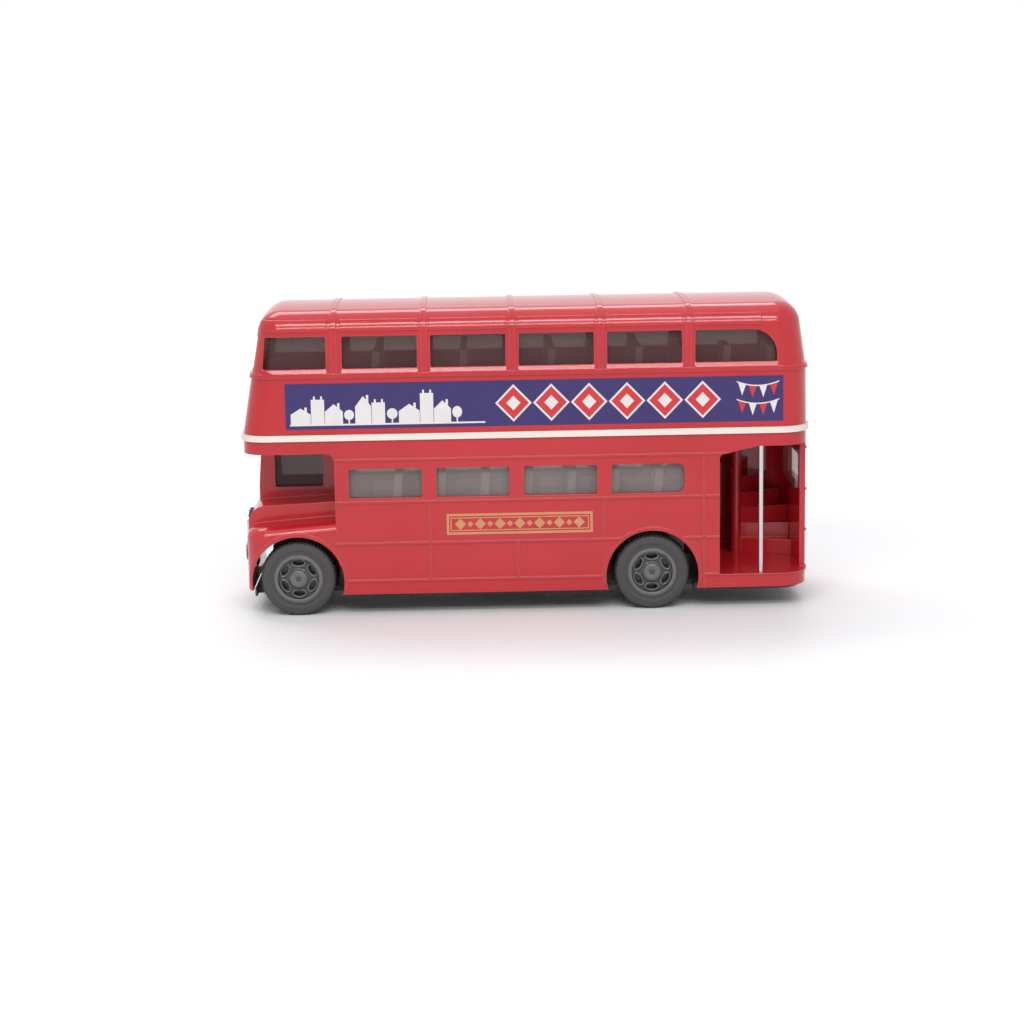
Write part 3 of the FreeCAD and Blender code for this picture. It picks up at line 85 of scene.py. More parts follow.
class Finish:
    """The nodes of one material, or of the world, whose sockets take numbers, colours or values."""

    def __init__(self, name, owner=None):
        self.owner = owner or bpy.data.materials.new(name)
        self.owner.use_nodes = True
        self.tree = self.owner.node_tree
        self.surface = self.tree.nodes.get("Principled BSDF")

    def add(self, kind, settings, sockets, output=0):
        """Adds a node: its settings first, a ramp's stops among them, then its sockets. Gives one output."""
        made = self.tree.nodes.new(kind)
        for name, setting in settings.items():
            if name == "stops":
                stops = made.color_ramp.elements
                while len(stops) < len(setting):
                    stops.new(0.5)
                for stop, (position, colour) in zip(stops, setting):
                    stop.position = position
                    stop.color = (*colour, 1.0)
            else:
                setattr(made, name, setting)
        for name, value in sockets.items():
            self.join(made.inputs[name], value)
        return Value(self, made.outputs[output])

    def join(self, socket, value):
        """Links a value to a socket, or sets the socket."""
        if isinstance(value, Value):
            self.tree.links.new(value.socket, socket)
        elif socket.type == "RGBA":
            socket.default_value = (*value, 1.0)
        else:
            socket.default_value = value

    def place(self):
        return self.add("ShaderNodeTexCoord", {}, {}, "Object")

    def noise(self, scale, detail=2.0, stretch=(1.0, 1.0, 1.0)):
        """Cloudy noise, 0 to 1; a stretch below 1 draws it out along that axis."""
        drawn = self.add("ShaderNodeVectorMath", {"operation": "MULTIPLY"}, {0: self.place(), 1: stretch})
        return self.add("ShaderNodeTexNoise", {}, {"Vector": drawn, "Scale": scale, "Detail": detail})

    def mix(self, share, one, other):
        """A colour between two colours."""
        return self.add("ShaderNodeMix", {"data_type": "RGBA"}, {0: share, 6: one, 7: other}, 2)

    def softened(self, radius):
        """The normal with edges rounded by the radius, and a mask that is 1 along those edges."""
        soft = self.add("ShaderNodeBevel", {"samples": 6}, {"Radius": radius})
        flat = self.add("ShaderNodeNewGeometry", {}, {}, "Normal")
        facing = self.add("ShaderNodeVectorMath", {"operation": "DOT_PRODUCT"}, {0: soft, 1: flat}, "Value")
        return soft, (1 - facing).over(0.004, 0.12)

    def bump(self, height, depth, under=None):
        """The surface's normal, raised by height times depth in metres."""
        sockets = {"Height": height, "Distance": depth, "Strength": 1.0}
        if under:
            sockets["Normal"] = under
        return self.add("ShaderNodeBump", {}, sockets)

    def wear(self, **sockets):
        """Sets the surface's sockets: base_color for Base Color and so on. Gives the material."""
        for name, value in sockets.items():
            self.join(self.surface.inputs[name.replace("_", " ").title().replace("Ior", "IOR")], value)
        return self.owner


def dress(material, *names):
    """The CAD pieces of those names take the material."""
    for name in names:
        for slot in cad[name].material_slots:
            slot.material = material


mm = 0.001
black = Finish("black_plastic")
rubbed = black.noise(45).over(0.35, 0.7)
base_normal, base_edge = black.softened(0.2 * mm)
black_plastic = black.wear(
    base_color=black.mix(rubbed, (0.011, 0.011, 0.012), (0.022, 0.022, 0.024)),
    roughness=0.62 - 0.14 * rubbed - 0.2 * base_edge,
    normal=black.bump(black.noise(2600, 3), 0.00003, base_normal),
)
dress(black_plastic, "base_plate")


# ---- axles and base screws ---------------------------------------------------------------------------
# Two drawn steel pins carry the wheels. Two plated self-tapping screws hold the base to the casting's
# posts, each with a low pan head and a cross recess.

steel = Finish("plated_steel")
drawn_lines = steel.noise(700, 2, (1.0, 0.04, 1.0))
bright_steel = steel.wear(
    base_color=steel.mix(drawn_lines, (0.47, 0.47, 0.48), (0.62, 0.62, 0.61)),
    metallic=1.0,
    roughness=0.24 + 0.16 * drawn_lines,
)
dress(bright_steel, "front_axle", "rear_axle")


def piece(name, body, material, make):
    """A new piece of the toy, its mesh from make(bm), riding on a body."""
    bm = bmesh.new()
    make(bm)
    bmesh.ops.recalc_face_normals(bm, faces=bm.faces)
    for face in bm.faces:
        face.smooth = True
    mesh = bpy.data.meshes.new(name)
    bm.to_mesh(mesh)
    bm.free()
    mesh.materials.append(material)
    thing = bpy.data.objects.new(name, mesh)
    bpy.context.scene.collection.objects.link(thing)
    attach(thing, body)
    return thing


def join_rings(bm, rings, closed):
    """Faces between rings of vertices, each ring a loop or a single point; closed joins last to first."""
    pairs = list(zip(rings, rings[1:])) + ([(rings[-1], rings[0])] if closed else [])
    for one, two in pairs:
        steps = max(len(one), len(two))
        for step in range(steps):
            after = (step + 1) % steps
            corners = (one[step % len(one)], one[after % len(one)],
                       two[after % len(two)], two[step % len(two)])
            bm.faces.new(list(dict.fromkeys(corners)))


def turn(bm, profile, at, along, steps, closed=False):
    """A turned form: profile is (place along the axis, radius), measured from at."""
    first = along.orthogonal().normalized()
    second = along.cross(first)
    rings = []
    for place, radius in profile:
        angles = [2 * math.pi * step / steps for step in range(steps)] if radius > 0 else [0]
        rings.append([bm.verts.new(at + along * place + (first * math.cos(angle) + second * math.sin(angle))
                                   * radius) for angle in angles])
    join_rings(bm, rings, closed)


def sharpen(thing, degrees):
    """Edges sharper than that stay crisp, the rest shade smoothly."""
    bm = bmesh.new()
    bm.from_mesh(thing.data)
    for edge in bm.edges:
        edge.smooth = edge.calc_face_angle(0) < math.radians(degrees)
    bm.to_mesh(thing.data)
    bm.free()


def screw_head(node):
    """Pan head, seen from below, with the two arms of its recess standing in it as dark slots."""
    low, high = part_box(node)
    radius, height = (high.x - low.x) / 2, high.z - low.z
    foot = Vector(((low.x + high.x) / 2, (low.y + high.y) / 2, low.z))

    def make(bm):
        profile = [(height, 0), (height, radius), (height * 0.55, radius), (height * 0.3, radius * 0.93),
                   (height * 0.1, radius * 0.75), (0, radius * 0.4), (0, 0)]
        turn(bm, profile, foot, Vector((0, 0, 1)), 32)
        shape = Matrix.Diagonal((radius * 1.15, radius * 0.24, height * 0.16, 1))
        for turned in (0.5, 0.5 + math.pi / 2):
            arm = bmesh.ops.create_cube(bm, size=1)["verts"]
            put = Matrix.Translation(foot) @ Matrix.Rotation(turned, 4, "Z")
            bmesh.ops.transform(bm, verts=arm, matrix=put @ shape)

    return make


for screw in ("front_base_screw", "rear_base_screw"):
    head = piece(f"{screw}_head", "bus_body", bright_steel, screw_head(screw))
    sharpen(head, 32)
    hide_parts(screw)


# ---- underframe relief -------------------------------------------------------------------------------
# Moulded with the base and of the same black plastic: a low relief of side and cross members, a shaft,
# a sump, a tank and a silencer with its pipe.

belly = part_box("front_base_screw")[1].z / mm
side_member_y, cross_members = 8.2, (-53, -38, -17, -3, 22, 37, 54)
shaft_y, shaft_joints, silencer_y = 5.1, (-16, 20), -12.4
sump, sump_foot = (24.5, -5.5, 35, 6.3), (26.5, -3.5, 33, 4.3)
tank, tank_straps = (-14, 10.2, 1, 15.2), (-11, -2)
corner_steps = 4


def pad(bm, x0, y0, x1, y1, stand, corner):
    """A raised field under the base with rounded corners and a drafted edge, in millimetres."""
    rings = []
    for inset, sunk in ((-0.1, -0.1), (0, 0.1), (0.12, stand - 0.1), (0.25, stand)):
        ring = []
        round_off = max(corner - inset, 0.05)
        for quarter, (x, y) in enumerate(((x1, y1), (x0, y1), (x0, y0), (x1, y0))):
            x += corner if x == x0 else -corner
            y += corner if y == y0 else -corner
            for step in range(corner_steps + 1):
                angle = math.pi / 2 * (quarter + step / corner_steps)
                spot = Vector((x + round_off * math.cos(angle), y + round_off * math.sin(angle),
                               belly - sunk))
                ring.append(bm.verts.new(spot * mm))
        rings.append(ring)
    join_rings(bm, rings, False)
    for ring in (rings[0], rings[-1]):
        bm.faces.new(ring)


def tube(bm, x0, x1, y, radius, dome):
    """A round bar half sunk in the base, along the toy, with domed ends, in millimetres."""
    profile = [(0, 0), (dome * 0.3, radius * 0.7), (dome, radius),
               (x1 - x0 - dome, radius), (x1 - x0 - dome * 0.3, radius * 0.7), (x1 - x0, 0)]
    turn(bm, [(place * mm, reach * mm) for place, reach in profile],
         Vector((x0, y, belly)) * mm, Vector((1, 0, 0)), 24)


def underframe(bm):
    """Members, shaft with its joints, sump, tank with its straps, and silencer with its pipe."""
    for y in (-side_member_y, side_member_y):
        pad(bm, -56, y - 0.6, 57, y + 0.6, 0.5, 0.3)
    for x in cross_members:
        pad(bm, x - 0.5, -7.5, x + 0.5, 7.5, 0.35, 0.2)
    tube(bm, -16, 21, shaft_y, 0.7, 0.4)
    for x in shaft_joints:
        tube(bm, x, x + 1.6, shaft_y, 1.05, 0.2)
    pad(bm, *sump, 0.7, 1.4)
    pad(bm, *sump_foot, 0.95, 1.0)
    pad(bm, *tank, 0.85, 1.2)
    for x in tank_straps:
        pad(bm, x - 0.4, 9.8, x + 0.4, 15.5, 1.0, 0.2)
    tube(bm, -5, 12, silencer_y, 1.35, 0.6)
    tube(bm, -16, 33, silencer_y, 0.45, 0.2)


relief = piece("underframe_relief", "bus_body", black_plastic, underframe)
sharpen(relief, 40)


# ---- wheels ------------------------------------------------------------------------------------------
# Four dark glossy plastic wheels pressed on the pins. Each is dished, with a rolled rim, a round boss
# and six deep oval holes that have a raised lip. Edges and all that stands proud are a lighter grey,
# a painted highlight.

gloss = Finish("wheel_plastic")
flow = gloss.noise(160, 3)
wheel_normal, wheel_edge_highlight = gloss.softened(0.16 * mm)
hub_black = gloss.mix(flow, (0.042, 0.040, 0.043), (0.066, 0.063, 0.067))
# The wheel's edges are painted a lighter grey: a painted highlight.
wheel_plastic = gloss.wear(
    base_color=gloss.mix(wheel_edge_highlight * 0.6, hub_black, (0.16, 0.155, 0.16)),
    roughness=0.14 + 0.12 * flow,
    normal=gloss.bump(gloss.noise(900), 0.00001, wheel_normal),
)
raised_highlight = Finish("raised_highlight_grey")
raised_highlight_mottle = raised_highlight.noise(700, 3)
raised_highlight_normal, raised_highlight_edge = raised_highlight.softened(0.1 * mm)
# The rim, boss cap and lips are a lighter grey than the wheel: a painted highlight on what stands proud.
raised_highlight_grey = raised_highlight.wear(
    base_color=raised_highlight.mix(raised_highlight_mottle, (0.078, 0.075, 0.078), (0.135, 0.13, 0.133)),
    roughness=0.16 + 0.14 * raised_highlight_mottle + 0.1 * raised_highlight_edge,
    coat_weight=0.3 + 0.3 * raised_highlight_mottle,
    normal=raised_highlight_normal,
)
ends = ("front", "rear")
sides = {"left": 1, "right": -1}
dress(wheel_plastic, *[f"{end}_{side}_wheel" for end in ends for side in sides])

hole_circle, hole_long, hole_high, hole_lip = 3.35 * mm, 1.45 * mm, 0.84 * mm, 0.26 * mm
rim_inner, rim_roll, web_depth, boss_radius = 4.4 * mm, 0.12 * mm, 1.2 * mm, 1.9 * mm
hole_count, oval_steps, bead_steps, roll_steps = 6, 28, 10, 8


def lip(bm, centre, radial, around, outward):
    """A round bead along an oval in the wheel's plane."""
    rings = []
    for step in range(oval_steps):
        angle = 2 * math.pi * step / oval_steps
        point = around * hole_long * math.cos(angle) + radial * hole_high * math.sin(angle)
        away = (around * math.cos(angle) / hole_long + radial * math.sin(angle) / hole_high).normalized()
        turns = [2 * math.pi * turned / bead_steps for turned in range(bead_steps)]
        rings.append([bm.verts.new(centre + point + (away * math.cos(a) + outward * math.sin(a)) * hole_lip)
                      for a in turns])
    join_rings(bm, rings, True)


def wheel_face(node, outward):
    """The rolled rim, the boss's cap and the lips of the oval holes, on the wheel's outer face."""
    low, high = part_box(node)
    outer = (high.x - low.x) / 2
    hub = Vector(((low.x + high.x) / 2, high.y if outward.y > 0 else low.y, (low.z + high.z) / 2))

    def make(bm):
        centre, half = (rim_inner + outer) / 2, (outer - rim_inner) / 2
        arcs = [math.pi * step / roll_steps for step in range(roll_steps + 1)]
        rolled = [(rim_roll * math.sin(angle), centre - half * math.cos(angle)) for angle in arcs]
        turn(bm, rolled, hub, outward, 72, True)
        cap = [(-web_depth, 0), (-web_depth, boss_radius + 0.25 * mm),
               (-web_depth + 0.1 * mm, boss_radius + 0.05 * mm), (-0.35 * mm, boss_radius),
               (-0.1 * mm, boss_radius - 0.12 * mm), (0, boss_radius - 0.4 * mm), (0, 0.75 * mm),
               (-0.15 * mm, 0.55 * mm), (-0.2 * mm, 0)]
        turn(bm, cap, hub, outward, 40)
        for number in range(hole_count):
            turned = math.radians(90 + 360 / hole_count * number)
            radial = Vector((math.cos(turned), 0, math.sin(turned)))
            around = Vector((-math.sin(turned), 0, math.cos(turned)))
            lip(bm, hub - outward * web_depth + radial * hole_circle, radial, around, outward)

    return make


for end in ends:
    for side, sign in sides.items():
        raised = piece(f"{end}_{side}_wheel_face", f"{end}_wheels", raised_highlight_grey,
                       wheel_face(f"{end}_{side}_wheel", Vector((0, sign, 0))))
        sharpen(raised, 50)


# ---- tyres -------------------------------------------------------------------------------------------
# Soft black tyres snapped over the wheels: matt side walls with a raised ring, rounded shoulders and a
# tread of fine ribs straight across.

rubber = Finish("tyre")
bloom = rubber.noise(220, 3)
tyre_rubber = rubber.wear(
    base_color=rubber.mix(bloom, (0.042, 0.040, 0.043), (0.062, 0.059, 0.062)),
    roughness=0.6 + 0.12 * bloom,
    normal=rubber.bump(rubber.noise(3000), 0.000015),
)
shoulder, shoulder_steps, shoulder_sunk = 0.95 * mm, 5, 0.14 * mm
rib_depth, rib_count, steps_per_rib = 0.22 * mm, 64, 4


def tyre(node, seat):
    """The tyre from its seat on the wheel outwards, with its ribs."""
    low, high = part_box(node)
    middle = (low + high) / 2
    radius, half = (high.z - low.z) / 2, (high.y - low.y) / 2

    def make(bm):
        wall = [(half, seat), (half, seat + 0.35 * mm), (half - 0.12 * mm, seat + 0.5 * mm),
                (half - 0.1 * mm, seat + 0.95 * mm), (half, seat + 1.1 * mm),
                (half - 0.02 * mm, seat + 1.45 * mm), (half - shoulder_sunk, radius - shoulder)]
        for step in range(1, shoulder_steps + 1):
            angle = math.pi / 2 * step / shoulder_steps
            wall.append((half - shoulder_sunk - shoulder * (1 - math.cos(angle)),
                         radius - shoulder * (1 - math.sin(angle))))
        wall.append((half * 0.3, radius))
        steps = rib_count * steps_per_rib
        rings = []
        for y, reach in wall + [(-y, reach) for y, reach in reversed(wall)]:
            tread = max(0.0, min(1.0, (reach - radius + shoulder * 0.55) / (shoulder * 0.4)))
            ring = []
            for step in range(steps):
                angle = 2 * math.pi * step / steps
                ribbed_reach = reach - (rib_depth * tread if step % steps_per_rib < 2 else 0)
                ring.append(bm.verts.new(middle + Vector((ribbed_reach * math.cos(angle), y,
                                                          ribbed_reach * math.sin(angle)))))
            rings.append(ring)
        join_rings(bm, rings, True)

    return make


for end in ends:
    for side in sides:
        wheel_low, wheel_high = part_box(f"{end}_{side}_wheel")
        ribbed = piece(f"{end}_{side}_tyre_ribbed", f"{end}_wheels", tyre_rubber,
                       tyre(f"{end}_{side}_tyre", (wheel_high.x - wheel_low.x) / 2))
        sharpen(ribbed, 35)
        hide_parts(f"{end}_{side}_tyre")


# ---- castings ----------------------------------------------------------------------------------------
# Two zinc die castings, the lower one with the cab, bonnet and platform, the upper one with the roof.
# Both are sprayed gloss red: the enamel is deeper where it pools and has a faint orange peel. Its sharp
# edges are painted paler, partly for thin enamel and partly as a painted highlight.

enamel = Finish("red_enamel")
sprayed_normal, thin_enamel_and_highlight_edge = enamel.softened(0.28 * mm)
pooled = enamel.noise(26, 3).over(0.3, 0.72)
sprayed = enamel.mix(pooled, (0.455, 0.012, 0.019), (0.52, 0.021, 0.03))
red_enamel = enamel.wear(
    # Sharp edges are paler: thin enamel and a painted highlight.
    base_color=enamel.mix(thin_enamel_and_highlight_edge * 0.55, sprayed, (0.72, 0.13, 0.13)),
    roughness=0.09 + 0.07 * enamel.noise(70, 3) + 0.1 * thin_enamel_and_highlight_edge,
    normal=enamel.bump(enamel.noise(950, 1.5), 0.000004, sprayed_normal),
)
dress(red_enamel, "lower_deck_casting", "upper_deck_casting", "staircase")


# ---- seats and band ----------------------------------------------------------------------------------
# The upper floor, its seats and the band that shows between the castings are one off-white moulding, and
# the lower seats and the driver's seat are of the same plastic, satin with faint flow marks.

cream = Finish("cream_plastic")
clouded = cream.noise(34, 3, (0.4, 1.0, 1.0))
cream_plastic = cream.wear(
    base_color=cream.mix(clouded, (0.75, 0.67, 0.60), (0.81, 0.735, 0.67)),
    roughness=0.36 + 0.12 * clouded,
    normal=cream.bump(cream.noise(1500), 0.000008),
)
dress(cream_plastic, "upper_deck_seats", "lower_deck_seats", "driver_seat")


# ---- glazing -----------------------------------------------------------------------------------------
# Clear styrene strips sprung inside the castings. The upper and cab strips are tinted dark red-brown as
# painted shade of the inside behind them, the lower ones paler, and all have faint ripples from the mould
# that break up the reflections.

shade_tint = Finish("shade_tinted_plastic")
haze = shade_tint.noise(60, 2)
shade_tinted_plastic = shade_tint.wear(
    # The dark red-brown tint is painted shade of the inside.
    base_color=shade_tint.mix(haze, (0.07, 0.026, 0.024), (0.12, 0.052, 0.05)),
    roughness=0.06 + 0.07 * haze,
    specular_ior_level=0.3,
    alpha=0.5 + 0.12 * haze,
    normal=shade_tint.bump(shade_tint.noise(130, 1), 0.00004),
)
dress(shade_tinted_plastic, "upper_glazing", "cab_glazing")

pale = Finish("pale_plastic")
streaks = pale.noise(60, 2, (1.0, 1.0, 0.25))
pale_plastic = pale.wear(
    base_color=pale.mix(streaks, (0.19, 0.155, 0.15), (0.33, 0.29, 0.28)),
    roughness=0.08 + 0.08 * streaks,
    alpha=0.4 + 0.14 * streaks,
    normal=pale.bump(pale.noise(130, 1), 0.00004),
)
dress(pale_plastic, "lower_glazing", "rear_glazing")


# ---- platform pole and radiator ----------------------------------------------------------------------
# The platform's grab pole is a bright steel wire. The radiator shell is vacuum plated plastic, pressed
# into the nose. All of it behind the slats' fronts is coloured matt black: painted shade in the gaps.

plated = Finish("bright_plating")
misted = plated.noise(240, 3)
bright_plating = plated.wear(
    base_color=plated.mix(misted, (0.54, 0.52, 0.52), (0.64, 0.62, 0.62)),
    metallic=1.0,
    roughness=0.12 + 0.12 * misted,
)
dress(bright_plating, "platform_pole")

shell = Finish("radiator_plating")
nose_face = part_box("lower_deck_casting")[1].x
forward = shell.add("ShaderNodeSeparateXYZ", {}, {0: shell.place()}, "X")
bright = forward.over(nose_face + 0.1 * mm, nose_face + 0.2 * mm)
blotch = shell.noise(300, 3)
plating = shell.mix(blotch, (0.52, 0.51, 0.51), (0.66, 0.65, 0.65))
radiator_plating = shell.wear(
    # Black behind the slats' fronts is painted shade in the gaps.
    base_color=shell.mix(bright, (0.012, 0.012, 0.013), plating),
    metallic=bright,
    roughness=0.6 - 0.46 * bright + 0.1 * blotch,
)
dress(radiator_plating, "radiator_grille")


# ---- headlamps ---------------------------------------------------------------------------------------
# Each lamp is one vacuum plated button pressed into the nose: a rolled bezel round a domed lens with
# fine upright flutes.

lamp_low, lamp_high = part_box("left_headlamp")
lamp_middle = (lamp_low + lamp_high) / 2
lamp_radius = (lamp_high.z - lamp_low.z) / 2
lens_share, lens_rise, lens_steps = 0.84, 0.3 * mm, 8
silver = Finish("lamp_silver")
folded = silver.add("ShaderNodeVectorMath", {"operation": "ABSOLUTE"}, {0: silver.place()})
flat_place = silver.add("ShaderNodeVectorMath", {"operation": "MULTIPLY"}, {0: folded, 1: (0.0, 1.0, 1.0)})
lamp_centre = {0: flat_place, 1: (0.0, lamp_middle.y, lamp_middle.z)}
spread = silver.add("ShaderNodeVectorMath", {"operation": "DISTANCE"}, lamp_centre, "Value")
lens = 1 - spread.over(lamp_radius * 0.82, lamp_radius * 0.86)
rows = {"Vector": silver.place(), "Scale": 520.0}
flutes = silver.add("ShaderNodeTexWave", {"bands_direction": "Y"}, rows)
tarnish = silver.noise(500)
bezel = silver.mix(tarnish, (0.62, 0.61, 0.61), (0.72, 0.71, 0.70))
lamp_silver = silver.wear(
    base_color=silver.mix(lens * (0.45 + 0.4 * flutes), bezel, (0.30, 0.31, 0.33)),
    metallic=1.0,
    roughness=0.12 + 0.1 * tarnish,
    normal=silver.bump(flutes * lens, 0.00006),
)


def headlamp(node):
    """Rolled bezel, a groove, and the lens domed inside it."""
    low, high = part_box(node)
    back = Vector((low.x, (low.y + high.y) / 2, (low.z + high.z) / 2))
    radius, depth = (high.z - low.z) / 2, high.x - low.x

    def make(bm):
        profile = [(0, 0), (0, radius), (depth - 0.45 * mm, radius), (depth - 0.3 * mm, radius * 1.06),
                   (depth - 0.12 * mm, radius * 1.08), (depth, radius), (depth - 0.05 * mm, radius * 0.9),
                   (depth - lens_rise, radius * lens_share)]
        for step in range(1, lens_steps):
            angle = math.pi / 2 * step / lens_steps
            profile.append((depth - lens_rise * (1 - math.sin(angle)),
                            radius * lens_share * math.cos(angle)))
        turn(bm, profile + [(depth, 0)], back, Vector((1, 0, 0)), 48)

    return make


for side in sides:
    lamp = piece(f"{side}_headlamp_lens", "bus_body", lamp_silver,
                 headlamp(f"{side}_headlamp"))
    sharpen(lamp, 40)
    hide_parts(f"{side}_headlamp")


# ---- printed panels of the upper deck ----------------------------------------------------------------
# Each side carries one pad-printed strip in blue, white and red, with a made-up street of plain houses
# and trees, a row of lozenges and strings of pennants. The ink lies a hair above the enamel.

def skin(name):
    """A casting's surface, to lay ink on."""
    mesh = cad[name].data
    places = [vertex.co.copy() for vertex in mesh.vertices]
    return BVHTree.FromPolygons(places, [list(face.vertices) for face in mesh.polygons])


skins = {name: skin(name) for name in ("upper_deck_casting", "lower_deck_casting")}
film_depth, cut_across, cut_up = 0.01 * mm, 0.5 * mm, 0.25 * mm
well_outside, weld = 0.1, 1e-6


def printed(casting, facing, shapes, lift):
    """Ink on a wall that looks along facing: outlines in millimetres across the wall and up.

    They are cut at small steps both ways, so that they follow the wall's curve.
    """
    up = Vector((0, 0, 1))
    across = Vector((0, 1, 0)) if facing.x else Vector((1, 0, 0))

    def make(bm):
        for outline in shapes:
            bm.faces.new([bm.verts.new((across * u + up * z) * mm) for u, z in outline])
        for line, step in ((across, cut_across), (up, cut_up)):
            places = [vert.co.dot(line) / step for vert in bm.verts]
            for number in range(math.ceil(min(places)), math.floor(max(places)) + 1):
                bmesh.ops.bisect_plane(bm, geom=bm.verts[:] + bm.edges[:] + bm.faces[:], dist=1e-7,
                                       plane_co=line * number * step, plane_no=line)
        bmesh.ops.remove_doubles(bm, verts=bm.verts, dist=weld)
        for vert in bm.verts:
            vert.co = skins[casting].ray_cast(vert.co + facing * well_outside, -facing)[0] + facing * lift
        film = bmesh.ops.extrude_face_region(bm, geom=bm.verts[:] + bm.edges[:] + bm.faces[:],
                                             use_keep_orig=True)["geom"]
        under = [part for part in film if isinstance(part, bmesh.types.BMVert)]
        bmesh.ops.translate(bm, verts=under, vec=facing * -film_depth)

    return make


def ink(name, low, high, rough, metal=0.0):
    """An ink of two close shades, a little uneven."""
    made = Finish(name)
    speck = made.noise(420, 3)
    return made.wear(
        base_color=made.mix(speck, low, high),
        metallic=metal,
        roughness=rough + 0.1 * speck,
        normal=made.bump(made.noise(1500), 0.000004),
    )


blue_ink = ink("blue_ink", (0.022, 0.012, 0.10), (0.030, 0.018, 0.13), 0.28)
white_ink = ink("white_ink", (0.66, 0.62, 0.61), (0.74, 0.70, 0.69), 0.32)
red_ink = ink("red_ink", (0.52, 0.018, 0.024), (0.60, 0.03, 0.034), 0.3)

panel_low, panel_high, panel_front, panel_rear = 40.5, 50.2, 50.7, -54.5
street_foot, middle_line = panel_low + 1.1, (panel_low + panel_high) / 2
street_front, street_rear = 49.6, 8.6
stack_half, chimney_rise, trunk_half, crown_steps = 0.25, 0.7, 0.15, 20


def strip(x0, z0, x1, z1):
    return [(x0, z0), (x1, z0), (x1, z1), (x0, z1)]


def lozenge(x, z, wide, high):
    return [(x - wide, z), (x, z - high), (x + wide, z), (x, z + high)]


def gabled_house(left, right, high):
    middle, eaves, peak = (left + right) / 2, street_foot + high * 0.62, street_foot + high
    walls = [(left, street_foot), (right, street_foot), (right, eaves), (middle, peak), (left, eaves)]
    stack = left + (right - left) * 0.24
    flanks = (stack - stack_half, stack + stack_half)
    feet = [(x, eaves + (peak - eaves) * (x - left) / (middle - left)) for x in flanks]
    return [walls, [*feet, (flanks[1], peak + 0.2), (flanks[0], peak + 0.2)]]


def flat_house(left, right, high):
    top = street_foot + high
    return [strip(left + 0.1, street_foot, right - 0.1, top),
            strip(left + 0.5, top, left + 0.9, top + chimney_rise),
            strip(right - 1.0, top, right - 0.6, top + chimney_rise)]


def round_tree(left, right, high):
    trunk, wide = (left + right) / 2, (right - left) * 0.4
    crown = []
    for step in range(crown_steps):
        angle = 2 * math.pi * step / crown_steps
        crown.append((trunk + wide * math.cos(angle), street_foot + high * (0.62 + 0.36 * math.sin(angle))))
    return [crown, strip(trunk - trunk_half, street_foot, trunk + trunk_half, street_foot + high * 0.262)]


def street(front):
    """White outlines of houses and trees, one after another towards the rear."""
    row = [
        (4.2, 3.4, gabled_house), (3.0, 5.2, flat_house), (3.8, 4.2, gabled_house), (2.6, 3.0, round_tree),
        (3.4, 5.8, gabled_house), (3.0, 4.4, flat_house), (2.8, 3.2, round_tree), (4.4, 4.0, gabled_house),
        (3.0, 6.2, flat_house), (3.6, 4.6, gabled_house), (2.6, 3.4, round_tree),
    ]
    shapes = [strip(street_rear, street_foot - 0.35, front + 0.2, street_foot)]
    for wide, high, building in row:
        shapes += building(front - wide, front, high)
        front -= wide
    return shapes


cord_front, cord_rear, high_cord_z, low_cord_z = -44.6, -53.6, 49.0, 45.2
cord_steps, cord_half, cord_sag, flag_count, flag_drop = 24, 0.12, 3.6, 4, 2.6


def pennants(height):
    """A sagging cord with little flags: the cord in short strips, then the flags."""
    def at(share):
        return cord_front + (cord_rear - cord_front) * share, height - cord_sag * share * (1 - share)

    cord, flags = [], []
    for number in range(cord_steps):
        (ax, az), (bx, bz) = at(number / cord_steps), at((number + 1) / cord_steps)
        cord.append([(ax, az - cord_half), (bx, bz - cord_half), (bx, bz + cord_half), (ax, az + cord_half)])
    for number in range(flag_count):
        (ax, az), (bx, bz) = at((number + 0.12) / flag_count), at((number + 0.88) / flag_count)
        flags.append([(ax, az), (bx, bz), ((ax + bx) / 2, (az + bz) / 2 - flag_drop)])
    return cord, flags


row_front, row_pitch, row_count = 2.6, 8.0, 6
row_middles = [row_front - row_pitch * number for number in range(row_count)]
high_cord, high_flags = pennants(high_cord_z)
low_cord, low_flags = pennants(low_cord_z)
layers = {
    "blue": (blue_ink, 0.012, [strip(panel_rear, panel_low, panel_front, panel_high)]),
    "white": (white_ink, 0.022, street(street_front)
              + [lozenge(x, middle_line, 3.87, 3.98) for x in row_middles]
              + high_flags[::2] + low_flags[1::2]),
    "red": (red_ink, 0.032, [lozenge(x, middle_line, 3.3, 3.4) for x in row_middles]
            + high_flags[1::2] + low_flags[::2]),
    "top": (white_ink, 0.042, [lozenge(x, middle_line, 1.5, 1.55) for x in row_middles]
            + high_cord + low_cord),
}
for side, sign in sides.items():
    for layer_name, (layer_ink, layer_lift, layer_shapes) in layers.items():
        layer = piece(f"{side}_print_{layer_name}", "bus_body", layer_ink,
                      printed("upper_deck_casting", Vector((0, sign, 0)), layer_shapes, layer_lift * mm))
        sharpen(layer, 30)


# ---- gold label of the lower deck --------------------------------------------------------------------
# A small gold-ink label on each side between the beads: a double rule round a row of diamonds, large and
# small in turn.

gold_ink = ink("gold_ink", (0.50, 0.235, 0.095), (0.60, 0.31, 0.145), 0.34, 0.35)
label_rear, label_front, label_low, label_high = -13.9, 17.2, 17.3, 21.8
diamond_count, diamond_margin, large_diamond, small_diamond = 13, 2.9, 1.2, 0.66


def rule(inset, wide):
    """Four strips round the label, that far inside its edge."""
    rear, front = label_rear + inset, label_front - inset
    low, high = label_low + inset, label_high - inset
    return [strip(rear, low, front, low + wide), strip(rear, high - wide, front, high),
            strip(rear, low + wide, rear + wide, high - wide),
            strip(front - wide, low + wide, front, high - wide)]


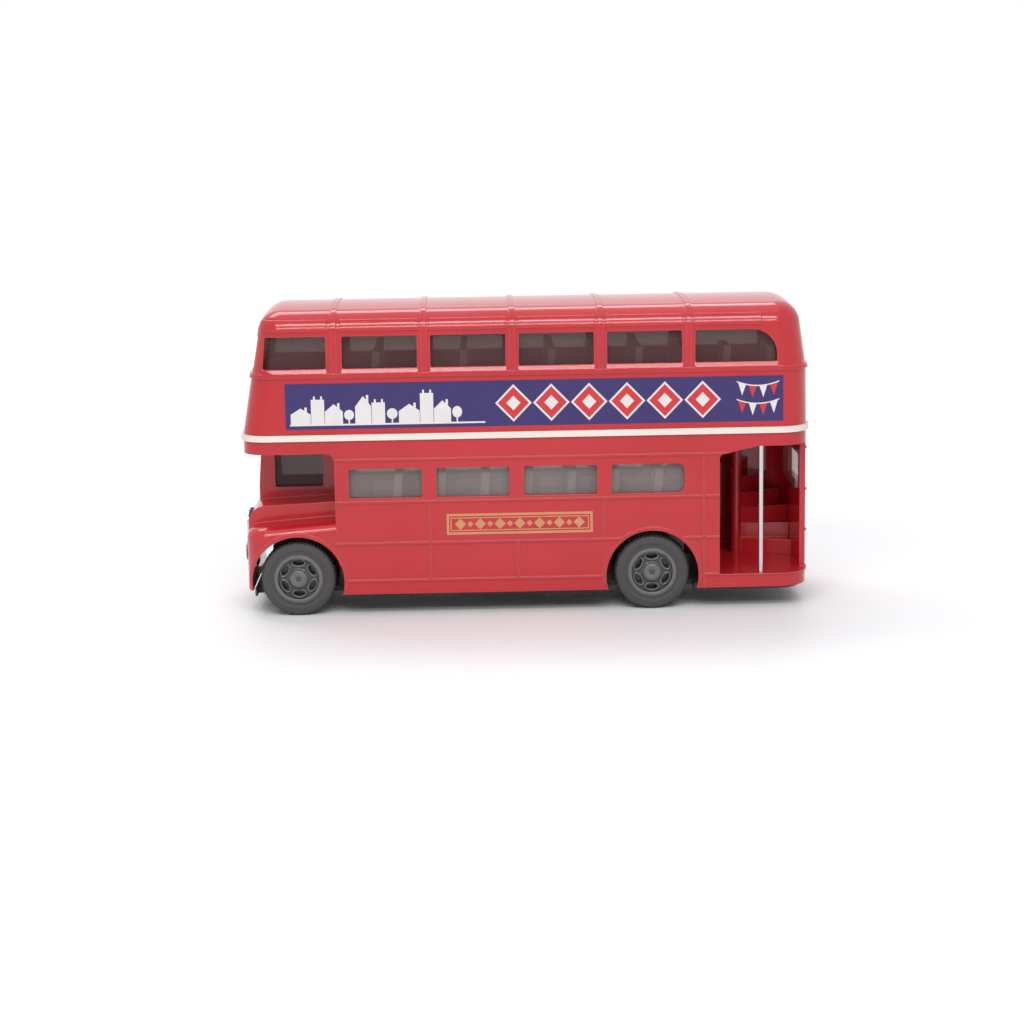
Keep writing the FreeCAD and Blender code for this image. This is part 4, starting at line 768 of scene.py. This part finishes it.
gold_shapes = rule(0, 0.5) + rule(0.8, 0.22)
diamond_row = label_front - label_rear - 2 * diamond_margin
for diamond in range(diamond_count):
    diamond_x = label_rear + diamond_margin + diamond * diamond_row / (diamond_count - 1)
    diamond_half = small_diamond if diamond % 2 else large_diamond
    gold_shapes.append(lozenge(diamond_x, (label_low + label_high) / 2, diamond_half, diamond_half))
for side, sign in sides.items():
    label = piece(f"{side}_gold_label", "bus_body", gold_ink,
                  printed("lower_deck_casting", Vector((0, sign, 0)), gold_shapes, 0.02 * mm))
    sharpen(label, 30)


# ---- destination blind -------------------------------------------------------------------------------
# The raised box over the canopy is part of the upper casting. Its field is pad-printed plain black, with
# no route or place on it.

black_ink = ink("black_ink", (0.010, 0.010, 0.011), (0.018, 0.018, 0.019), 0.26)
blind_low, blind_high, blind_half = 41.65, 48.15, 7.75
blind_field = [strip(-blind_half, blind_low, blind_half, blind_high)]
blind = piece("destination_blind", "bus_body", black_ink,
              printed("upper_deck_casting", Vector((1, 0, 0)), blind_field, 0.012 * mm))
sharpen(blind, 30)


# ---- floor, light and camera -------------------------------------------------------------------------
# A pale matt floor that fades to the white background, soft lamps over and beside the toy, and a camera
# a little higher than the roof that looks slightly down on the nearside.

def background_rays(finish):
    """1 for what the camera, metal and glass see, 0 for light that falls on the toy."""
    seen, glossy, through = (finish.add("ShaderNodeLightPath", {}, {}, f"Is {ray} Ray")
                             for ray in ("Camera", "Glossy", "Transmission"))
    return seen.math("MAXIMUM", seen, glossy.math("MAXIMUM", glossy, through))


fade_start, fade_end, floor_radius = 0.1, 0.45, 6
table = Finish("pale_floor")
distance = table.add("ShaderNodeVectorMath", {"operation": "LENGTH"}, {0: table.place()}, "Value")
white = distance.over(fade_start, fade_end) * background_rays(table)
pale_floor = table.wear(
    base_color=table.mix(white, (0.86, 0.86, 0.86), (0.0, 0.0, 0.0)),
    roughness=0.6,
    emission_color=table.mix(white, (0.0, 0.0, 0.0), (1.0, 1.0, 1.0)),
    emission_strength=1.0,
)
ground = bmesh.new()
bmesh.ops.create_circle(ground, cap_ends=True, radius=floor_radius, segments=64)
ground_mesh = bpy.data.meshes.new("floor")
ground.to_mesh(ground_mesh)
ground.free()
ground_mesh.materials.append(pale_floor)
floor = bpy.data.objects.new("floor", ground_mesh)
bpy.context.scene.collection.objects.link(floor)

studio = Finish("studio", bpy.data.worlds.new("studio"))
bpy.context.scene.world = studio.owner
soft_light = studio.add("ShaderNodeBackground", {}, {"Color": (0.92, 0.95, 1.0), "Strength": 0.5})
plain_white = studio.add("ShaderNodeBackground", {}, {"Color": (1.0, 1.0, 1.0), "Strength": 1.0})
sky = studio.add("ShaderNodeMixShader", {}, {0: background_rays(studio), 1: soft_light, 2: plain_white})
studio.join(studio.tree.nodes["World Output"].inputs["Surface"], sky)


toy_middle = Vector((0, 0, 0.035))


def lamp_panel(name, at, wide, high, watts):
    """A soft rectangular studio lamp aimed at the middle of the toy."""
    data = bpy.data.lights.new(name, "AREA")
    data.shape = "RECTANGLE"
    data.size, data.size_y = wide, high
    data.energy = watts
    thing = bpy.data.objects.new(name, data)
    bpy.context.scene.collection.objects.link(thing)
    thing.location = at
    thing.rotation_euler = (toy_middle - Vector(at)).to_track_quat("-Z", "Y").to_euler()


lamp_panel("key", (0.02, 0.40, 0.45), 0.6, 0.055, 1.4)
lamp_panel("low_key", (0.02, 0.48, 0.33), 0.6, 0.035, 0.75)
lamp_panel("top", (0.0, 0.0, 0.6), 0.6, 0.5, 0.5)
lamp_panel("back", (0.1, -0.3, 0.52), 0.6, 0.2, 1.6)

camera_data = bpy.data.cameras.new("camera")
camera_data.sensor_width = 36
camera_data.lens = 78.2
camera_data.clip_start = 0.01
camera = bpy.data.objects.new("camera", camera_data)
bpy.context.scene.collection.objects.link(camera)
camera.location = (0.01063, 0.48279, 0.10897)
camera.rotation_euler = [math.radians(angle) for angle in (79.41, 0.94, -181.08)]
bpy.context.scene.camera = camera
bpy.context.scene.view_settings.view_transform = "Standard"
